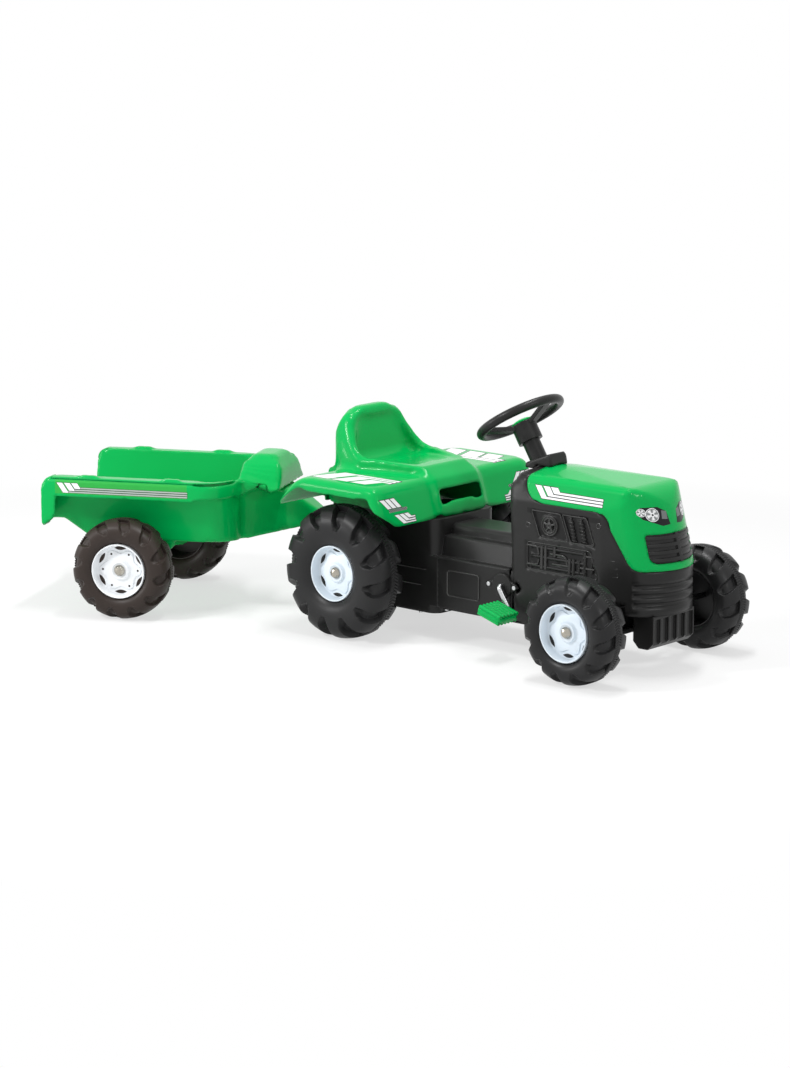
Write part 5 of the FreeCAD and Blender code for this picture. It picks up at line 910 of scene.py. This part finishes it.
def ribbed_pedal(node, body, out):
    """A pedal with a wavy rear edge and round ribs along both faces."""
    low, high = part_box(node)
    middle = (low + high) / 2
    half = (high - low) / 2
    bm = bmesh.new()
    edge = bmesh.ops.create_circle(bm, segments=PEDAL_SIDES, radius=1.0, cap_ends=True)["verts"]
    for vert in edge:
        x = math.copysign(abs(vert.co.x) ** PEDAL_SQUARENESS, vert.co.x)
        y = math.copysign(abs(vert.co.y) ** PEDAL_SQUARENESS, vert.co.y)
        if x < 0.0:
            x += PEDAL_WAVE_DEPTH * (1.0 - math.cos(PEDAL_WAVES * math.pi * (y + 1.0))) / 2
        vert.co = (half.x * x, half.y * y, -half.z * PEDAL_PLATE)
    made = bmesh.ops.extrude_face_region(bm, geom=bm.faces[:])["geom"]
    top = [item for item in made if isinstance(item, bmesh.types.BMVert)]
    bmesh.ops.translate(bm, verts=top, vec=(0.0, 0.0, half.z * PEDAL_PLATE * 2))
    rims = [item for item in bm.edges if abs(item.verts[0].co.z - item.verts[1].co.z) < 0.0001]
    bmesh.ops.bevel(bm, geom=rims, offset=PEDAL_EDGE, segments=2, profile=0.5, affect="EDGES", material=-1)
    bmesh.ops.recalc_face_normals(bm, faces=bm.faces)
    for face in (1.0, -1.0):
        for k in range(PEDAL_RIBS):
            y = half.y * (k - (PEDAL_RIBS - 1) / 2) / PEDAL_RIB_SPREAD
            line = [Vector((half.x * x, y, face * half.z * PEDAL_RIB_HEIGHT)) for x in PEDAL_RIB_ENDS]
            bar(bm, line, half.z * PEDAL_RIB_RADIUS, 10)
    place = Matrix.Translation(middle + Vector((0.0, out * PEDAL_OUT, 0.0))) @ Matrix.Rotation(PEDAL_TILT, 4, "Y")
    bmesh.ops.transform(bm, matrix=place @ Matrix.Diagonal((1.0, PEDAL_WIDER, 1.0, 1.0)), verts=bm.verts)
    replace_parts(add_piece(bm, node + "_tread", body, node, finish_of(node)), node)


def engine_detail(side, name):
    """Fan, coil springs, pipes, clamps and frames on one flank of the engine housing."""
    bm = bmesh.new()
    ahead = Vector((1.0, 0.0, 0.0))
    up = Vector((0.0, 0.0, 1.0))
    out = Vector((0.0, side, 0.0))
    for points in ENGINE_PIPES:
        bar(bm, eased_line([flank_spot(side, x, z, -0.0005) for x, z in points]), PIPE_RADIUS)
    for x, low, high, radius in ENGINE_CLAMPS:
        bar(bm, [flank_spot(side, x, low, -0.001), flank_spot(side, x, high, -0.001)], radius)
    for points in PANEL_FRAMES:
        bar(bm, eased_line([flank_spot(side, x, z, 0.0003) for x, z in points], 0.1), PANEL_FRAME_RADIUS)
    fan = flank_spot(side, *FAN, -0.0012)
    for radius, thick in FAN_RINGS:
        bar(bm, round_points(fan, ahead, up, radius), thick)
    for k in range(FAN_SPOKES):
        turn = math.tau * (k + 0.25) / FAN_SPOKES
        spoke = ahead * math.cos(turn) + up * math.sin(turn)
        bar(bm, [fan + spoke * end for end in FAN_SPOKE_ENDS], FAN_SPOKE_RADIUS)
    for foot, top in SPRINGS:
        low = flank_spot(side, *foot, -0.0032)
        axis = flank_spot(side, *top, -0.0032) - low
        count = round(axis.length / SPRING_PITCH) * SPRING_SIDES
        coil = []
        for k in range(count + 1):
            turn = math.tau * k / SPRING_SIDES
            round_it = ahead * math.cos(turn) + out * math.sin(turn)
            coil.append(low + axis * (k / count) + round_it * SPRING_RADIUS)
        bar(bm, coil, SPRING_WIRE, 6)
    for x, z in FLANK_SCREWS:
        bar(bm, round_points(flank_spot(side, x, z), ahead, up, FLANK_SCREW_RADIUS, 16), FLANK_SCREW_WIRE, 6)
    for points in HATCH_FRAMES:
        bar(bm, eased_line([flank_spot(side, x, z, 0.0012) for x, z in points], 0.12), HATCH_FRAME_RADIUS)
    add_piece(bm, name, "chassis", "chassis_shell", engine_painted_sheen)


for side, out in (("left", 1.0), ("right", -1.0)):
    rail_end(out, f"rail_end_{side}")
    ribbed_pedal(f"pedal_{side}", f"{side}_pedal", out)
    engine_detail(out, f"engine_detail_{side}")
    rear_body = "rear_wheel_left" if side == "left" else "rear_axle_set"
    wheels = (
        (f"front_tyre_{side}", f"front_wheel_{side}", FRONT_HALF, 0.0),
        (f"rear_tyre_{side}", rear_body, REAR_HALF, 0.0),
        (f"trailer_tyre_{side}", f"trailer_wheel_{side}", FRONT_HALF, TRAILER_YAW),
    )
    for node, body, half, yaw in wheels:
        lug_tyre(node, body, half, yaw)
        dished_rim(node, body, out, yaw)


def studio_floor():
    """A white floor that keeps the object's shadow and is plain white further off."""
    bm = bmesh.new()
    bmesh.ops.create_grid(bm, x_segments=1, y_segments=1, size=FLOOR_HALF)
    mesh = bpy.data.meshes.new("studio_floor")
    bm.to_mesh(mesh)
    bm.free()
    floor = bpy.data.objects.new("studio_floor", mesh)
    bpy.context.scene.collection.objects.link(floor)
    finish = Finish("studio_white")
    finish.set(Base_Color=STUDIO_PALE, Roughness=0.9, Specular_IOR_Level=0.0)
    _, (x, y, _) = finish.place()
    far = (x * x + y * y).math("SQRT") * 0.9 - 0.75
    glow = finish.node("ShaderNodeEmission", sockets={"Color": STUDIO_WHITE, "Strength": 1.0})
    share = seen_ray(finish) * far.either(0.62).least(1.0)
    mix = finish.node("ShaderNodeMixShader", sockets={0: share, 2: glow})
    finish.tree.links.new(finish.shader.outputs["BSDF"], mix.socket.node.inputs[1])
    finish.tree.links.new(mix.socket, finish.out.inputs["Surface"])
    mesh.materials.append(finish.material)


def seen_ray(finish):
    """1 for what the camera sees, also in gloss or through clear material."""
    kinds = ("Is Camera Ray", "Is Glossy Ray", "Is Transmission Ray")
    camera, gloss, clear = (finish.node("ShaderNodeLightPath", output=kind) for kind in kinds)
    return camera.either(gloss).either(clear)


class Surroundings(Finish):
    """The world's nodes, added one by one as a material's are."""

    def __init__(self):
        world = bpy.data.worlds.new("studio_world")
        world.use_nodes = True
        self.tree = world.node_tree
        self.tree.nodes.clear()
        self.out = self.tree.nodes.new("ShaderNodeOutputWorld")
        bpy.context.scene.world = world


def studio_world():
    """White where it is seen, softer where it lights the object."""
    finish = Surroundings()
    soft, plain = (
        finish.node("ShaderNodeBackground", sockets={"Color": STUDIO_WHITE, "Strength": strength})
        for strength in (WORLD_LIGHT, 1.0)
    )
    mix = finish.node("ShaderNodeMixShader", sockets={0: seen_ray(finish), 1: soft, 2: plain})
    finish.tree.links.new(mix.socket, finish.out.inputs["Surface"])


def studio_lamp(name, spot, aim, size, power):
    data = bpy.data.lights.new(name, "AREA")
    data.shape = "RECTANGLE"
    data.size, data.size_y = size
    data.energy = power
    lamp = bpy.data.objects.new(name, data)
    bpy.context.scene.collection.objects.link(lamp)
    lamp.location = spot
    lamp.rotation_euler = (Vector(aim) - Vector(spot)).to_track_quat("-Z", "Y").to_euler()


def studio_camera():
    data = bpy.data.cameras.new("camera")
    data.lens = CAMERA_LENS
    data.sensor_width = CAMERA_SENSOR
    data.clip_end = CAMERA_REACH
    camera = bpy.data.objects.new("camera", data)
    bpy.context.scene.collection.objects.link(camera)
    camera.location = CAMERA_SPOT
    camera.rotation_euler = (CAMERA_AIM - CAMERA_SPOT).to_track_quat("-Z", "Y").to_euler()
    bpy.context.scene.camera = camera


studio_floor()
studio_world()
for row in STUDIO_LAMPS:
    studio_lamp(*row)
studio_camera()
bpy.context.scene.view_settings.view_transform = "Standard"
